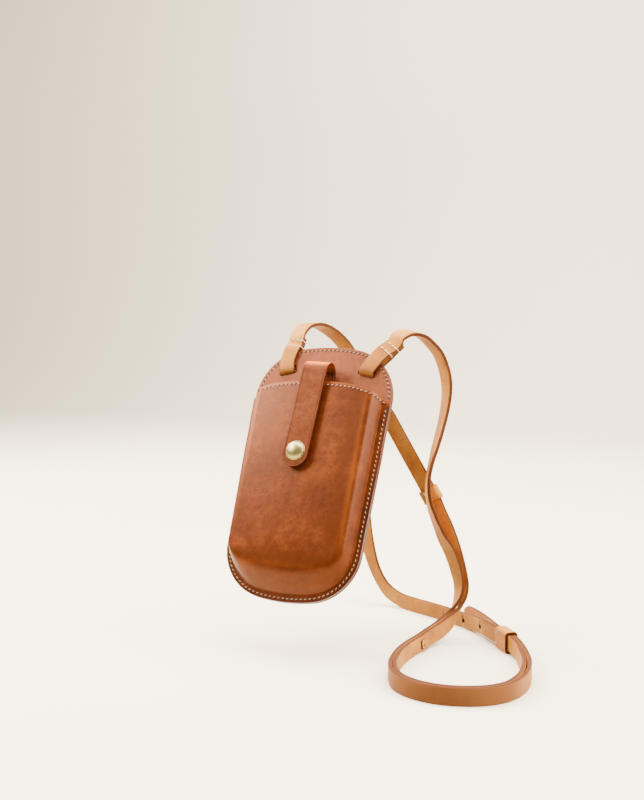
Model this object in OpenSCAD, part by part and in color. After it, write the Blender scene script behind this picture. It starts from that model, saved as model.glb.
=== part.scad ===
/* [Attitude] */
// Angle by which the pouch leans back from upright
lean = 24.5; // [5:0.5:35]
// Small turn of the pouch in its own plane, top to the right
turn = 0.3; // [0:0.1:3]

/* [Back panel] */
// Width of the panel across its straight sides
panel_w = 110; // [96:1:124]
// Extra half width at the shoulders, beside the pocket's mouth
shoulder_swell = 1.3; // [0.5:0.1:3]
// Half width that the panel loses from its middle to its bottom corners
bottom_taper = 1.8; // [0:0.1:3]
// Height of the panel's top edge above the middle of the rear face
panel_top = 102; // [96:1:112]
// Depth of the panel's bottom edge below the middle of the rear face
panel_drop = 95; // [88:1:104]
// Radius of the shallow arc along the top edge
top_arc_r = 150; // [120:5:200]
// Radius of the two top corners
top_corner_r = 41; // [34:0.5:44]
// Radius of the shallow arc along the bottom edge
bottom_arc_r = 130; // [110:5:180]
// Radius of the two bottom corners
bottom_corner_r = 38.5; // [32:0.5:42]
// Thickness of the panel's outer leather
outer_t = 1.5; // [1:0.1:2]
// Thickness of the panel's lining leather
lining_t = 1.5; // [1:0.1:2]
// Height of the seam where the lining meets the yoke that carries the strap
yoke_z = 75; // [70:0.5:75.5]

/* [Front pocket] */
// Thickness of the moulded leather
pocket_t = 2; // [1.6:0.1:2.4]
// Height of the moulded face in front of the panel
mould_depth = 13; // [11:0.5:16]
// Width of the flat flange outside the foot of the wall
flange_w = 4.6; // [4:0.1:6]
// Run of the right side wall from its foot to the flat face
side_run = 9; // [7:0.5:11]
// Width of the flat flange along the left side
left_flange_w = 3.6; // [3.4:0.1:6]
// Run of the steeper left side wall
left_run = 3; // [2.5:0.5:9]
// Run of the bottom wall from its foot to the flat face
bottom_run = 20; // [14:1:24]
// Radius of the face's bottom corners
face_corner_r = 12; // [8:1:16]
// Height of the mouth's edge at its middle
mouth_top = 69; // [62:1:72]
// Drop of the mouth's edge from its middle to the seams
mouth_drop = 10.5; // [8:0.5:13]
// Distance of the stitch line from the panel's edge
stitch_inset = 2.5; // [2:0.1:3]
// Width of the sewing thread
thread_w = 0.8; // [0.6:0.1:1]
// Height of the thread above the leather
thread_h = 0.3; // [0.2:0.1:0.5]

/* [Strap slots] */
// Distance of each slot from the panel's centre line
slot_x = 33; // [30:0.5:35]
// Height of the slots above the middle of the rear face
slot_z = 82.5; // [81:0.5:84]
// Length of a slot
slot_l = 14; // [13.6:0.1:16]
// Height of a slot
slot_h = 7.6; // [7.4:0.1:8]
// Radius of a slot's corners
slot_corner_r = 2; // [1:0.5:2.5]
// Slope of a slot, outer end lower
slot_tilt = 14; // [8:1:18]

/* [Closure tab] */
// Width of the closure tab
tab_w = 20; // [16:0.5:24]
// Thickness of the closure tab
tab_t = 2.2; // [1.8:0.1:2.6]
// Offset of the tab to the left of the centre line
tab_shift = 1.8; // [0:0.1:6]
// Slant of the tab in its plane, tip to the left
tab_skew = 2.3; // [0:0.1:3]
// Length of the tab's root below the bend, inside the pocket
root_l = 34; // [28:1:40]
// Height of the bend's centre above the mouth's edge
bend_rise = 7.5; // [5:0.5:9]
// Length of the rounded tip below the snap's centre
tip_l = 12; // [11:0.5:14]
// Play at each of the tab's bending lines
bend_play = 0.3; // [0.25:0.05:0.35]
// Gap between the closed tab and the pocket's face
snap_gap = 3; // [3:0.1:3.6]

/* [Snap] */
// Height of the snap above the middle of the rear face
snap_z = 12.5; // [4:0.5:20]
// Diameter of the domed cap
cap_d = 15; // [12.5:0.5:16]
// Thickness of the cap's rim
cap_rim_t = 0.7; // [0.5:0.1:1]
// Height of the dome above the rim
cap_dome_h = 2.9; // [2:0.1:3.5]
// Diameter of the cap's post
cap_post_d = 3.4; // [3:0.1:4]
// Diameter of the socket
socket_d = 11.5; // [10:0.5:12.5]
// Thickness of the socket's roof
socket_roof = 0.4; // [0.3:0.1:0.5]
// Diameter of the stud's head
stud_d = 4.4; // [4:0.1:4.8]
// Thickness of the stud's base
stud_base_t = 0.8; // [0.6:0.1:0.9]
// Diameter of the stud's base
stud_base_d = 10; // [9:0.5:11]
// Diameter of the stud's rivet through the pocket
rivet_d = 3; // [2.6:0.1:3.4]
// Diameter of the washer inside the pocket
washer_d = 9; // [8:0.5:10]
// Thickness of the washer inside the pocket
washer_t = 0.7; // [0.5:0.1:0.9]
// Play all round the stud in its socket
snap_play = 0.4; // [0.35:0.05:0.5]

/* [Strap] */
// Width of the shoulder strap
strap_w = 12; // [11:0.5:12]
// Thickness of the shoulder strap
strap_t = 2.8; // [2.4:0.1:2.8]
// Bevel along the strap's edges
strap_bevel = 0.6; // [0.3:0.1:0.8]
// Diameter of the adjusting holes
hole_d = 3; // [2.4:0.1:3.6]
// Spacing of the adjusting holes
hole_pitch = 25; // [22:1:26]
// Number of adjusting holes
hole_count = 3; // [2:1:3]

/* [Keepers] */
// Thickness of the keepers' leather
keeper_t = 1.6; // [1.2:0.1:1.8]
// Length of the upper keeper along the strap
upper_keeper_l = 11; // [9:0.5:13]
// Length of the lower keeper along the strap
lower_keeper_l = 18; // [14:0.5:20]
// Play between a keeper and the strap in it
keeper_play = 0.4; // [0.3:0.05:0.6]

/* [Hidden] */

panel_t = outer_t + lining_t;
half_w = panel_w / 2;
shoulder_w = half_w + shoulder_swell;
bottom_w = half_w - bottom_taper;
face_y = -panel_t - mould_depth;
cut_over = 20;

// Samples along the outline's arcs
arc_steps = 7;
corner_steps = 8;

// Heights of the side's points and the part of the swell that each has
side_z_shares = [0.08, 0.3, 0.52];
side_swell_shares = [0.1, 0.4, 0.9];

function arc(cx, cz, r, a0, a1, n) =
    [for (i = [0 : n]) let (a = a0 + (a1 - a0) * i / n) [cx + r * cos(a), cz + r * sin(a)]];
function mirrored(pts) = [for (i = [len(pts) - 1 : -1 : 0]) [-pts[i][0], pts[i][1]]];

// Right half of a bottom edge: shallow arc, then a corner up to the side
function bottom_half(hw, drop, r, big_r) =
    let (
        b = asin((hw - r) / (big_r - r)),
        cz = big_r - drop - sqrt(pow(big_r - r, 2) - pow(hw - r, 2))
    )
    concat(
        arc(0, big_r - drop, big_r, -90, -90 + b, arc_steps),
        [for (i = [1 : corner_steps])
            let (a = -90 + b + (90 - b) * i / corner_steps)
            [hw - r + r * cos(a), cz + r * sin(a)]]
    );

// Right half of a top edge, from the side up to the middle
function top_half(hw, top, r, big_r) =
    let (
        b = asin((hw - r) / (big_r - r)),
        cz = top - big_r + sqrt(pow(big_r - r, 2) - pow(hw - r, 2))
    )
    concat(
        arc(hw - r, cz, r, 0, 90 - b, corner_steps),
        [for (i = [1 : arc_steps]) let (a = 90 - b + b * i / arc_steps)
            [big_r * cos(a), top - big_r + big_r * sin(a)]]
    );

// Panel outline, drawn in by an inset
function panel_half(inset) = concat(
    bottom_half(bottom_w - inset, panel_drop - inset, bottom_corner_r - inset, bottom_arc_r - inset),
    [for (i = [0 : len(side_z_shares) - 1])
        [half_w - inset + shoulder_swell * side_swell_shares[i], panel_top * side_z_shares[i]]],
    top_half(shoulder_w - inset, panel_top - inset, top_corner_r - inset, top_arc_r - inset)
);
function panel_outline(inset) =
    let (h = panel_half(inset))
    concat(h, [for (p = mirrored(h)) if (abs(p[0]) > thread_w / 100) p]);

// The pocket's mouth: an arch that drops towards the seams
mouth_power = 3;
mouth_steps = 24;
mouth_reach = shoulder_w + stitch_inset;
function mouth_z(x) = mouth_top - mouth_drop * pow(abs(x) / half_w, mouth_power);
function mouth_line(lift) =
    [for (i = [0 : mouth_steps]) let (x = mouth_reach * (2 * i / mouth_steps - 1)) [x, mouth_z(x) + lift]];

// Places the pouch's own frame: rear face in the plane y = 0, front towards -y
module posed() {
    rotate([-lean, 0, 0]) rotate([0, turn, 0]) children();
}
function lean_point(p) = [p[0], p[1] * cos(lean) + p[2] * sin(lean), p[2] * cos(lean) - p[1] * sin(lean)];
function turn_point(p) = [p[0] * cos(turn) + p[2] * sin(turn), p[1], p[2] * cos(turn) - p[0] * sin(turn)];
function posed_point(p) = lean_point(turn_point(p));

// A plate from y0 forward by t
module plate(y0, t) {
    translate([0, y0, 0]) rotate([90, 0, 0]) linear_extrude(height = t) children();
}

// A rounded rectangle of w by h
module rounded(w, h, r) {
    square([w - 2 * r, h], center = true);
    square([w, h - 2 * r], center = true);
    for (sx = [-1, 1], sy = [-1, 1])
        translate([sx * (w / 2 - r), sy * (h / 2 - r)]) circle(r = r, $fn = 32);
}

module slot_cuts() {
    for (side = [-1, 1])
        translate([side * slot_x, 0, slot_z]) rotate([0, side * slot_tilt, 0])
            plate(cut_over, 2 * cut_over) rounded(slot_l, slot_h, slot_corner_r);
}

module back_panel() {
    color("#B5725A") posed() difference() {
        plate(-lining_t, outer_t) polygon(panel_outline(0));
        slot_cuts();
    }
}

// The lining reaches up to the seam, and the yoke carries on above it round the slots
seam_gap = 0.3;
module back_lining() {
    color("#A8664C") posed() plate(0, lining_t) intersection() {
        polygon(panel_outline(0));
        translate([-panel_w, yoke_z - seam_gap - panel_w * 2]) square([panel_w * 2, panel_w * 2]);
    }
}

module back_yoke() {
    color("#A8664C") posed() difference() {
        plate(0, lining_t) intersection() {
            polygon(panel_outline(0));
            translate([-panel_w, yoke_z]) square([panel_w * 2, panel_w]);
        }
        slot_cuts();
    }
}

// Wall of the moulded pocket: shares of the run and of the depth
side_run_shares = [0, 0.05, 0.2, 0.38, 0.54, 0.73, 1];
bottom_run_shares = [0, 0.07, 0.26, 0.5, 0.68, 0.84, 1];
depth_shares = [0, 0.16, 0.42, 0.68, 0.86, 0.96, 1];
levels = len(depth_shares);
loft_top = mouth_top + 2 * pocket_t;

// One level of the pocket's loft, as a ring of points; wall is how far inside the outer surface
function loft_side(i, wall, flange, run) =
    let (
        foot = flange + wall,
        in = foot + run * side_run_shares[i],
        drop = panel_drop - flange_w - wall - bottom_run * bottom_run_shares[i],
        r0 = bottom_corner_r - foot,
        r = r0 + (face_corner_r - r0) * depth_shares[i]
    )
    concat(bottom_half(bottom_w - in, drop, r, bottom_arc_r), [[half_w - in, loft_top]]);
function loft_ring(i, wall) =
    let (
        y = -panel_t - (mould_depth - wall) * depth_shares[i],
        left = mirrored(loft_side(i, wall, left_flange_w, left_run))
    )
    [for (p = concat(loft_side(i, wall, flange_w, side_run), [for (q = left) if (abs(q[0]) > thread_w / 100) q]))
        [p[0], y, p[1]]];

module pocket_loft(wall) {
    rings = [for (i = [0 : levels - 1]) loft_ring(i, wall)];
    n = len(rings[0]);
    polyhedron(
        points = [for (ring = rings) each ring],
        faces = concat(
            [[for (j = [0 : n - 1]) j]],
            [for (i = [0 : levels - 2], j = [0 : n - 1]) let (k = (j + 1) % n)
                each [[i * n + j, (i + 1) * n + j, i * n + k],
                      [i * n + k, (i + 1) * n + j, (i + 1) * n + k]]],
            [[for (j = [n - 1 : -1 : 0]) (levels - 1) * n + j]]
        )
    );
}

module above_mouth() {
    plate(cut_over, 2 * cut_over + mould_depth)
        polygon(concat(mouth_line(0), [[mouth_reach, panel_top + cut_over], [-mouth_reach, panel_top + cut_over]]));
}

module front_pocket() {
    color("#A9603A") posed() difference() {
        union() {
            plate(-panel_t, pocket_t) polygon(panel_outline(0));
            pocket_loft(0);
        }
        pocket_loft(pocket_t);
        above_mouth();
        tab_frame() at_snap() rotate([90, 0, 0])
            cylinder(d = rivet_d, h = 2 * cut_over, center = true, $fn = 32);
    }
}

module thread_band(y0) {
    plate(y0, thread_h) difference() {
        polygon(panel_outline(stitch_inset - thread_w / 2));
        polygon(panel_outline(stitch_inset + thread_w / 2));
    }
}

// The thread lies on the flange below the mouth and on the panel above it
module edge_thread() {
    color("#F1D9B5") posed() {
        difference() {
            thread_band(-panel_t - pocket_t);
            above_mouth();
        }
        intersection() {
            thread_band(-panel_t);
            above_mouth();
        }
    }
}

// Thread on the pocket's face, below the mouth's edge
module mouth_thread() {
    face_left = half_w - left_flange_w - left_run;
    face_right = half_w - flange_w - side_run;
    color("#F1D9B5") posed() plate(face_y, thread_h) intersection() {
        polygon(concat(mouth_line(-stitch_inset + thread_w / 2),
                       [for (i = [mouth_steps : -1 : 0]) mouth_line(-stitch_inset - thread_w / 2)[i]]));
        translate([-face_left, 0]) square([face_left + face_right, panel_top]);
    }
}

// The tab's frame: x across the tab, y forward is negative, z up, origin at the bend's height
bend_z = mouth_top + bend_rise;
tab_back_y = -panel_t - tab_t / 2;
tab_front_y = face_y - snap_gap - tab_t / 2;
bend_r = (tab_back_y - tab_front_y) / 2;
bend_y = (tab_back_y + tab_front_y) / 2;
module tab_frame() {
    translate([-tab_shift, 0, bend_z]) rotate([0, tab_skew, 0]) children();
}
module at_snap() {
    translate([0, 0, snap_z - bend_z]) children();
}

// Bending lines, as angles along the arch from the back leg
bend_angles = [60, 150];
knuckle_step = 0.05;
knuckle_r = tab_t / 2 - knuckle_step;
cup_r = tab_t / 2 + bend_play;
arch_sides = 96;
outer_r = bend_r + tab_t / 2;
inner_r = bend_r - tab_t / 2;
hang = bend_z - snap_z;

function on_arch(r, a) = [bend_y + r * cos(a), r * sin(a)];

// A stretch of the arch between two angles, in the plane across the bends
module arch_stretch(a0, a1) {
    wedge_r = 2 * outer_r;
    intersection() {
        translate([bend_y, 0]) difference() {
            circle(r = outer_r, $fn = arch_sides);
            circle(r = inner_r, $fn = arch_sides);
        }
        polygon([on_arch(0, 0), on_arch(wedge_r, a0), on_arch(wedge_r, (a0 + a1) / 2), on_arch(wedge_r, a1)]);
    }
}
// Round end or round hollow at a bending line
module bend_round(k, r) {
    translate(on_arch(bend_r, bend_angles[k])) circle(r = r, $fn = 48);
}
// A straight leg of the tab: its mid line and its length below the bend's centre
module straight_leg(y, l) {
    translate([y - tab_t / 2, -l]) square([tab_t, l]);
}

module tab_slice() {
    rotate([90, 0, 90]) linear_extrude(height = tab_w, center = true) children();
}
tab_colour = "#B4694A";

module tab_root() {
    color(tab_colour) posed() tab_frame() tab_slice() {
        straight_leg(tab_back_y, root_l);
        arch_stretch(0, bend_angles[0]);
        bend_round(0, knuckle_r);
    }
}
module tab_bend() {
    color(tab_colour) posed() tab_frame() tab_slice() difference() {
        union() {
            arch_stretch(bend_angles[0], bend_angles[1]);
            bend_round(1, knuckle_r);
        }
        bend_round(0, cup_r);
    }
}
module tab_flap() {
    tip_r = tab_w / 2;
    color(tab_colour) posed() tab_frame() difference() {
        union() {
            tab_slice() difference() {
                union() {
                    straight_leg(tab_front_y, hang);
                    arch_stretch(bend_angles[1], 180);
                }
                bend_round(1, cup_r);
            }
            at_snap() plate(tab_front_y + tab_t / 2, tab_t) {
                translate([0, tip_r - tip_l]) circle(r = tip_r, $fn = 64);
                translate([-tip_r, tip_r - tip_l]) square([tab_w, tip_l]);
            }
        }
        at_snap() rotate([90, 0, 0]) cylinder(d = cap_post_d, h = 4 * cut_over, center = true, $fn = 32);
    }
}

// Cross of stitches that holds the root to the panel: two rows
root_rows_shares = [0.55, 0.9];
module tab_root_thread() {
    color("#F1D9B5") posed() tab_frame()
        for (s = root_rows_shares)
            translate([0, -panel_t - tab_t, -root_l * s])
                plate(0, thread_h) square([tab_w - 2 * stitch_inset, thread_w], center = true);
}

dome_steps = 8;
dome_r = cap_d / 2 - cap_rim_t;
cap_profile = concat(
    [[0, -tab_t], [cap_post_d / 2, -tab_t], [cap_post_d / 2, 0], [cap_d / 2, 0], [cap_d / 2, cap_rim_t]],
    [for (i = [0 : dome_steps]) let (a = 90 * i / dome_steps) [dome_r * cos(a), cap_rim_t + cap_dome_h * sin(a)]]
);
// Revolves a profile about the snap's axis; the profile's height runs forward from y0
module snap_part(y0, profile) {
    posed() tab_frame() at_snap() translate([0, y0, 0]) rotate([90, 0, 0])
        rotate_extrude($fn = 64) polygon(profile);
}
module snap_cap() {
    color("#D9D3B0") snap_part(tab_front_y - tab_t / 2, cap_profile);
}

// The socket hangs under the flap; its profile runs from the flap back to the pocket
socket_t = snap_gap - stud_base_t - thread_h;
socket_bore_r = stud_d / 2 + snap_play;
socket_lip = 0.3;
socket_profile = [
    [0, 0], [socket_d / 2, 0], [socket_d / 2, -socket_t + socket_lip], [socket_d / 2 - socket_lip, -socket_t],
    [socket_bore_r, -socket_t], [socket_bore_r, -socket_roof], [0, -socket_roof],
];
module snap_socket() {
    color("#B9AF86") snap_part(face_y - snap_gap, socket_profile);
}

stud_h = snap_gap - socket_roof - snap_play;
stud_neck_share = 0.8;
stud_neck_h = stud_base_t + (stud_h - stud_base_t) / 2;
stud_profile = [
    [0, -pocket_t - washer_t], [rivet_d / 2, -pocket_t - washer_t], [rivet_d / 2, 0], [stud_base_d / 2, 0],
    [stud_base_d / 2, stud_base_t / 2], [stud_d / 2, stud_base_t], [stud_d / 2 * stud_neck_share, stud_neck_h],
    [stud_d / 2, (stud_neck_h + stud_h) / 2], [stud_d / 2 * stud_neck_share, stud_h], [0, stud_h],
];
module snap_stud() {
    color("#B9AF86") snap_part(face_y, stud_profile);
}
module snap_washer() {
    r0 = rivet_d / 2;
    color("#B9AF86") snap_part(face_y + pocket_t,
        [[r0, -washer_t], [washer_d / 2, -washer_t], [washer_d / 2, 0], [r0, 0]]);
}

// Strap: a ribbon swept along [point, facing] pairs
function unit(v) = v / norm(v);
function section(w, t, b) = [
    [-w / 2 + b, -t / 2], [w / 2 - b, -t / 2], [w / 2, -t / 2 + b], [w / 2, t / 2 - b],
    [w / 2 - b, t / 2], [-w / 2 + b, t / 2], [-w / 2, t / 2 - b], [-w / 2, -t / 2 + b],
];
// Direction of a route at a station, and a facing squared to it
function along(route, i) = unit(route[min(i + 1, len(route) - 1)][0] - route[max(i - 1, 0)][0]);
function squared(f, d) = unit(f - (f * d) * d);
module ribbon(route, w, t, b) {
    m = len(route);
    sec = section(w, t, b);
    n = len(sec);
    rings = [for (i = [0 : m - 1])
        let (
            d = along(route, i),
            up = squared(route[i][1], d),
            side = cross(up, d)
        )
        [for (s = sec) route[i][0] + side * s[0] + up * s[1]]];
    polyhedron(
        points = [for (ring = rings) each ring],
        faces = concat(
            [[for (j = [0 : n - 1]) j]],
            [for (i = [0 : m - 2], j = [0 : n - 1]) let (k = (j + 1) % n)
                each [[i * n + j, (i + 1) * n + j, i * n + k],
                      [i * n + k, (i + 1) * n + j, (i + 1) * n + k]]],
            [[for (j = [n - 1 : -1 : 0]) (m - 1) * n + j]]
        )
    );
}

// The strap's end: down in front of the panel, through the slot, and up behind it
fold_gap = 0.3;
fold_r = (panel_t + strap_t) / 2 + fold_gap;
fold_mid_y = -panel_t / 2;
layer_gap = 0.4;
layer_off = (strap_t + layer_gap) / 2;
fold_c = fold_r + strap_t / 2 + fold_gap - slot_h / 2;
fold_edge = 17.2;
fold_join = 21.5;
// Where each front leg ends and becomes the strap, and how far the cut end behind it rises
fold_end = [26.5, 23.5];
cut_rise = 3.5;
// Rows of thread through both legs, as heights above the slot, and their slope
row_heights = [[19.8, 25], [17.3, 21.8]];
row_tilt = [-8, 36];
// Lie of each loop: outward offset against height above the slot
loop_lie = [
    [[0, 0], [5.5, 0.9], [14, 0], [20, -1.9], [30, -3]],
    [[0, 0], [5, 2.6], [11.5, 6.9], [17.3, 12], [21.7, 16.4], [27, 21.6]],
];
function fold_leg_y(u) = lookup(u, [[fold_edge, fold_r], [fold_join, layer_off]]);
// Points of a fold as [y, height above the slot, facing y, facing height], cut end first
function fold_path(k) =
    let (legs = [fold_end[k], fold_edge + (fold_end[k] - fold_edge) / 2, fold_edge, fold_edge * 2 / 3, fold_edge / 3])
    concat(
        [for (u = concat([fold_end[k] + cut_rise], legs)) [fold_mid_y + fold_leg_y(u), u, -1, 0]],
        [for (a = [0 : 30 : 180]) [fold_mid_y + fold_r * cos(a), fold_c - fold_r * sin(a), -cos(a), sin(a)]],
        [for (u = reversed(legs)) [fold_mid_y - fold_leg_y(u), u, 1, 0]]
    );
function slot_fold(k) =
    let (side = 2 * k - 1)
    [for (p = fold_path(k)) let (lie = slot_tilt * abs(p[3]))
        [posed_point([side * (slot_x + lookup(p[1], loop_lie[k])), p[0], slot_z + p[1]]),
         posed_point([side * sin(lie) * p[3], p[2], cos(lie) * p[3]])]];

// Long strap behind the pouch, from over the top down to the table
long_back = [
    [[-30.4, 46, 104.2], [0, 0.8, -0.6]],
    [[-30, 51.3, 108], [0, 0.6, -0.8]],
    [[-29.4, 57.5, 110.5], [0, 0.3, -0.95]],
    [[-28.3, 65, 111.5], [0, 0, -1]],
    [[-26, 74, 110.8], [0.05, -0.3, -0.95]],
    [[-23, 82.5, 107.8], [0.1, -0.5, -0.85]],
    [[-18.5, 90, 102.5], [0.1, -0.65, -0.75]],
    [[-13, 97.5, 93.5], [0.1, -0.75, -0.6]],
    [[-8, 104.5, 79.5], [0.1, -0.85, -0.45]],
    [[-5, 112, 55], [0, -0.95, -0.3]],
    [[-6, 119, 25], [0, -1, -0.2]],
    [[-10, 124, -10], [0, -1, -0.1]],
    [[-9, 128, -45], [0, -1, 0]],
    [[-6, 131, -75], [-0.2, -1, 0]],
    [[1, 132, -98], [-0.5, -0.85, 0.1]],
    [[12, 130, -113], [-0.55, -0.8, 0.1]],
    [[26, 125, -119], [-0.45, -0.88, 0]],
    [[40, 118, -120], [-0.42, -0.9, 0]],
    [[54, 111, -120], [-0.43, -0.9, 0]],
    [[66, 105, -120], [-0.45, -0.9, 0]],
    [[78, 98, -120], [-0.5, -0.85, 0]],
    [[92, 89, -120], [-0.6, -0.8, 0]],
    [[104, 79, -119], [-0.68, -0.73, 0]],
    [[115, 68, -118], [-0.72, -0.7, 0]],
];
// Short strap from the right slot's fold over and down past the upper keeper
short_side = [
    [[53, 43.3, 101.8], [-0.05, 0.7, -0.7]],
    [[55, 46.3, 103.9], [-0.15, 0.45, -0.88]],
    [[57, 50, 105.2], [-0.22, 0.2, -0.96]],
    [[59.4, 54, 105.5], [-0.3, -0.08, -0.95]],
    [[62.4, 58.5, 104.7], [-0.4, -0.35, -0.85]],
    [[66.3, 63.5, 101.9], [-0.45, -0.6, -0.65]],
    [[70.2, 68, 97.1], [-0.5, -0.7, -0.45]],
    [[75, 73, 89.5], [-0.53, -0.78, -0.25]],
    [[78.2, 76, 79.9], [-0.55, -0.82, -0.1]],
    [[80.3, 77, 70.3], [-0.56, -0.83, 0]],
    [[81, 77, 59.8], [-0.62, -0.78, 0]],
    [[80.6, 75, 49.6], [-0.66, -0.75, 0]],
    [[79.8, 71, 38.7], [-0.69, -0.73, 0]],
    [[78.7, 65, 27.2], [-0.7, -0.71, 0]],
    [[77.5, 58, 15], [-0.75, -0.66, 0]],
    [[76.6, 51.5, 4], [-0.84, -0.54, 0]],
    [[76.4, 47, -7.4], [-0.88, -0.47, 0]],
    [[77.5, 46.5, -19], [-0.86, -0.5, 0]],
    [[79.3, 49, -29], [-0.74, -0.67, 0]],
    [[81.5, 53.3, -38.5], [-0.66, -0.75, 0]],
    [[84, 57.5, -48], [-0.6, -0.8, 0]],
    [[89.8, 61.7, -61.5], [-0.45, -0.89, 0]],
];
// The two straps together, from the lower keeper round the table loop and up
pair = [
    [[129, 55, -118], [-0.77, -0.64, 0]],
    [[139, 43, -118], [-0.77, -0.64, 0]],
    [[148, 32, -118], [-0.78, -0.63, 0]],
    [[155, 21, -119], [-0.84, -0.54, 0]],
    [[161, 8, -120], [-0.9, -0.42, 0]],
    [[167, -8, -120], [-0.95, -0.3, 0]],
    [[171, -26, -120], [-1, -0.1, 0]],
    [[172, -44, -120], [-1, 0.1, 0]],
    [[168, -62.5, -120], [-0.88, 0.47, 0]],
    [[158, -75, -120], [-0.65, 0.76, 0]],
    [[145, -82, -120], [-0.4, 0.92, 0]],
    [[132, -85, -120], [-0.1, 1, 0]],
    [[119, -84, -120], [0.23, 0.97, 0]],
    [[107, -79.5, -120], [0.5, 0.86, 0]],
    [[97, -71.5, -120], [0.73, 0.68, 0]],
    [[90, -60.5, -120], [0.9, 0.45, 0]],
    [[85, -48, -120], [0.96, 0.28, 0]],
    [[82, -34, -120], [0.99, 0.14, 0]],
    [[80, -18, -120], [1, 0.03, 0]],
    [[80, -1, -120], [1, -0.1, 0]],
    [[82, 14, -119.5], [0.98, -0.16, 0]],
    [[84.5, 28, -118], [0.99, -0.1, 0.05]],
    [[88.5, 44, -115.5], [0.98, 0.05, 0.1]],
    [[93, 56, -109], [0.93, 0.3, 0.1]],
    [[96.5, 64, -99], [0.8, 0.58, 0.05]],
    [[97, 67.5, -88.5], [0.64, 0.77, 0]],
    [[95, 67, -77], [0.48, 0.88, 0]],
];
// Long strap from where the two part up to its free end above the upper keeper
long_tail = [
    [[92.5, 66, -62], [0.35, 0.94, 0]],
    [[88, 63.5, -48], [0.15, 0.99, 0]],
    [[84.5, 61, -38], [0.1, 1, 0]],
    [[81.5, 59.3, -31], [0.1, 1, 0]],
    [[78, 58, -22], [0.1, 1, 0]],
    [[70, 57, -8], [0.1, 1, 0]],
    [[62, 56, 6], [0.1, 1, 0]],
    [[54, 55, 20], [0.1, 1, 0]],
    [[46, 54, 34], [0.1, 1, 0]],
    [[38, 53, 48], [0.1, 1, 0]],
];
// Free end of the short strap beyond the lower keeper, tip first
short_tail = [
    [[86, 114, -120], [0.68, 0.73, 0]],
    [[94, 107, -120], [0.7, 0.7, 0]],
    [[104, 96, -120], [0.74, 0.67, 0]],
    [[114, 83, -120], [0.8, 0.6, 0]],
    [[121, 71, -119], [0.82, 0.57, 0]],
];
// Both straps open up a little where the loop turns at the right and where it rises
rise_index = 21;
function pair_spread(i) = (i > 3 && i < 8) || i > rise_index ? layer_off + layer_gap : layer_off;
function pair_layer(side) = [for (i = [0 : len(pair) - 1])
    [pair[i][0] + squared(pair[i][1], along(pair, i)) * side * pair_spread(i), pair[i][1] * side]];

function reversed(list) = [for (i = [len(list) - 1 : -1 : 0]) list[i]];

// A smooth curve through the stations, for places and facings alike
refine = 3;
function between(a, b, c, d, t) =
    b + (c - a) * t / 2 + (a * 2 - b * 5 + c * 4 - d) * t * t / 2 + ((b - c) * 3 + d - a) * t * t * t / 2;
function smooth(route) =
    let (m = len(route) - 1)
    concat(
        [for (i = [0 : m - 1], s = [0 : refine - 1])
            [for (k = [0, 1])
                between(route[max(i - 1, 0)][k], route[i][k], route[i + 1][k], route[min(i + 2, m)][k], s / refine)]],
        [route[m]]
    );

long_route = concat(slot_fold(0), smooth(concat(long_back, pair_layer(1), long_tail)));
short_route = concat(smooth(concat(short_tail, pair_layer(-1), reversed(short_side))),
                     reversed(slot_fold(1)));

// A frame on a strap: z along it, y along its facing, placed at a point
module strap_frame(p, d, f) {
    e = unit(d);
    b = acos(e[2]);
    c = atan2(e[1], e[0]);
    g = unit(f - (f * e) * e);
    x1 = [cos(b) * cos(c), cos(b) * sin(c), -sin(b)];
    y1 = [-sin(c), cos(c), 0];
    roll = atan2(-(g * x1), g * y1);
    translate(p) rotate([0, b, c]) rotate([0, 0, roll]) children();
}

hole_line = long_back[len(long_back) - 1];
hole_dir = unit(hole_line[0] - long_back[len(long_back) - 3][0]);
hole_start = -4;
strap_colour = "#D9955E";

module strap_long() {
    color(strap_colour) difference() {
        ribbon(long_route, strap_w, strap_t, strap_bevel);
        strap_frame(hole_line[0], hole_dir, hole_line[1])
            for (i = [0 : hole_count - 1])
                translate([0, 0, hole_start - hole_pitch * i]) rotate([90, 0, 0])
                    cylinder(d = hole_d, h = 3 * strap_t, center = true, $fn = 24);
    }
}

module strap_short() {
    color(strap_colour) ribbon(short_route, strap_w, strap_t, strap_bevel);
}

// Two rows of thread across a strap's folded end
row_lift = 0.3;
module loop_thread(k) {
    side = 2 * k - 1;
    color("#F1D9B5") posed()
        for (u = row_heights[k])
            translate([side * (slot_x + lookup(u, loop_lie[k])),
                       fold_mid_y - fold_leg_y(u) - strap_t / 2 - row_lift, slot_z + u])
                rotate([0, side * row_tilt[k], 0])
                    plate(0, thread_h) square([strap_w - 2 * strap_bevel, thread_w], center = true);
}
module left_loop_thread() {
    loop_thread(0);
}
module right_loop_thread() {
    loop_thread(1);
}

// A closed leather band: rounded outside, slotted for what it holds
module band(inner_w, inner_t, l) {
    out_w = inner_w + 2 * keeper_t;
    out_t = inner_t + 2 * keeper_t;
    translate([0, 0, -l / 2]) linear_extrude(height = l) difference() {
        rounded(out_w, out_t, keeper_t);
        square([inner_w, inner_t], center = true);
    }
}

upper_index = 4;
upper_at = long_tail[upper_index];
upper_dir = long_tail[upper_index + 1][0] - upper_at[0];
upper_slot_t = strap_t + 2 * keeper_play;
keeper_slot_w = strap_w + 2 * keeper_play;
module upper_keeper_frame() {
    strap_frame(upper_at[0], upper_dir, upper_at[1]) children();
}
module upper_keeper() {
    color(strap_colour) upper_keeper_frame() translate([0, 0, upper_keeper_l / 2])
        band(keeper_slot_w, upper_slot_t, upper_keeper_l);
}

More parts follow.
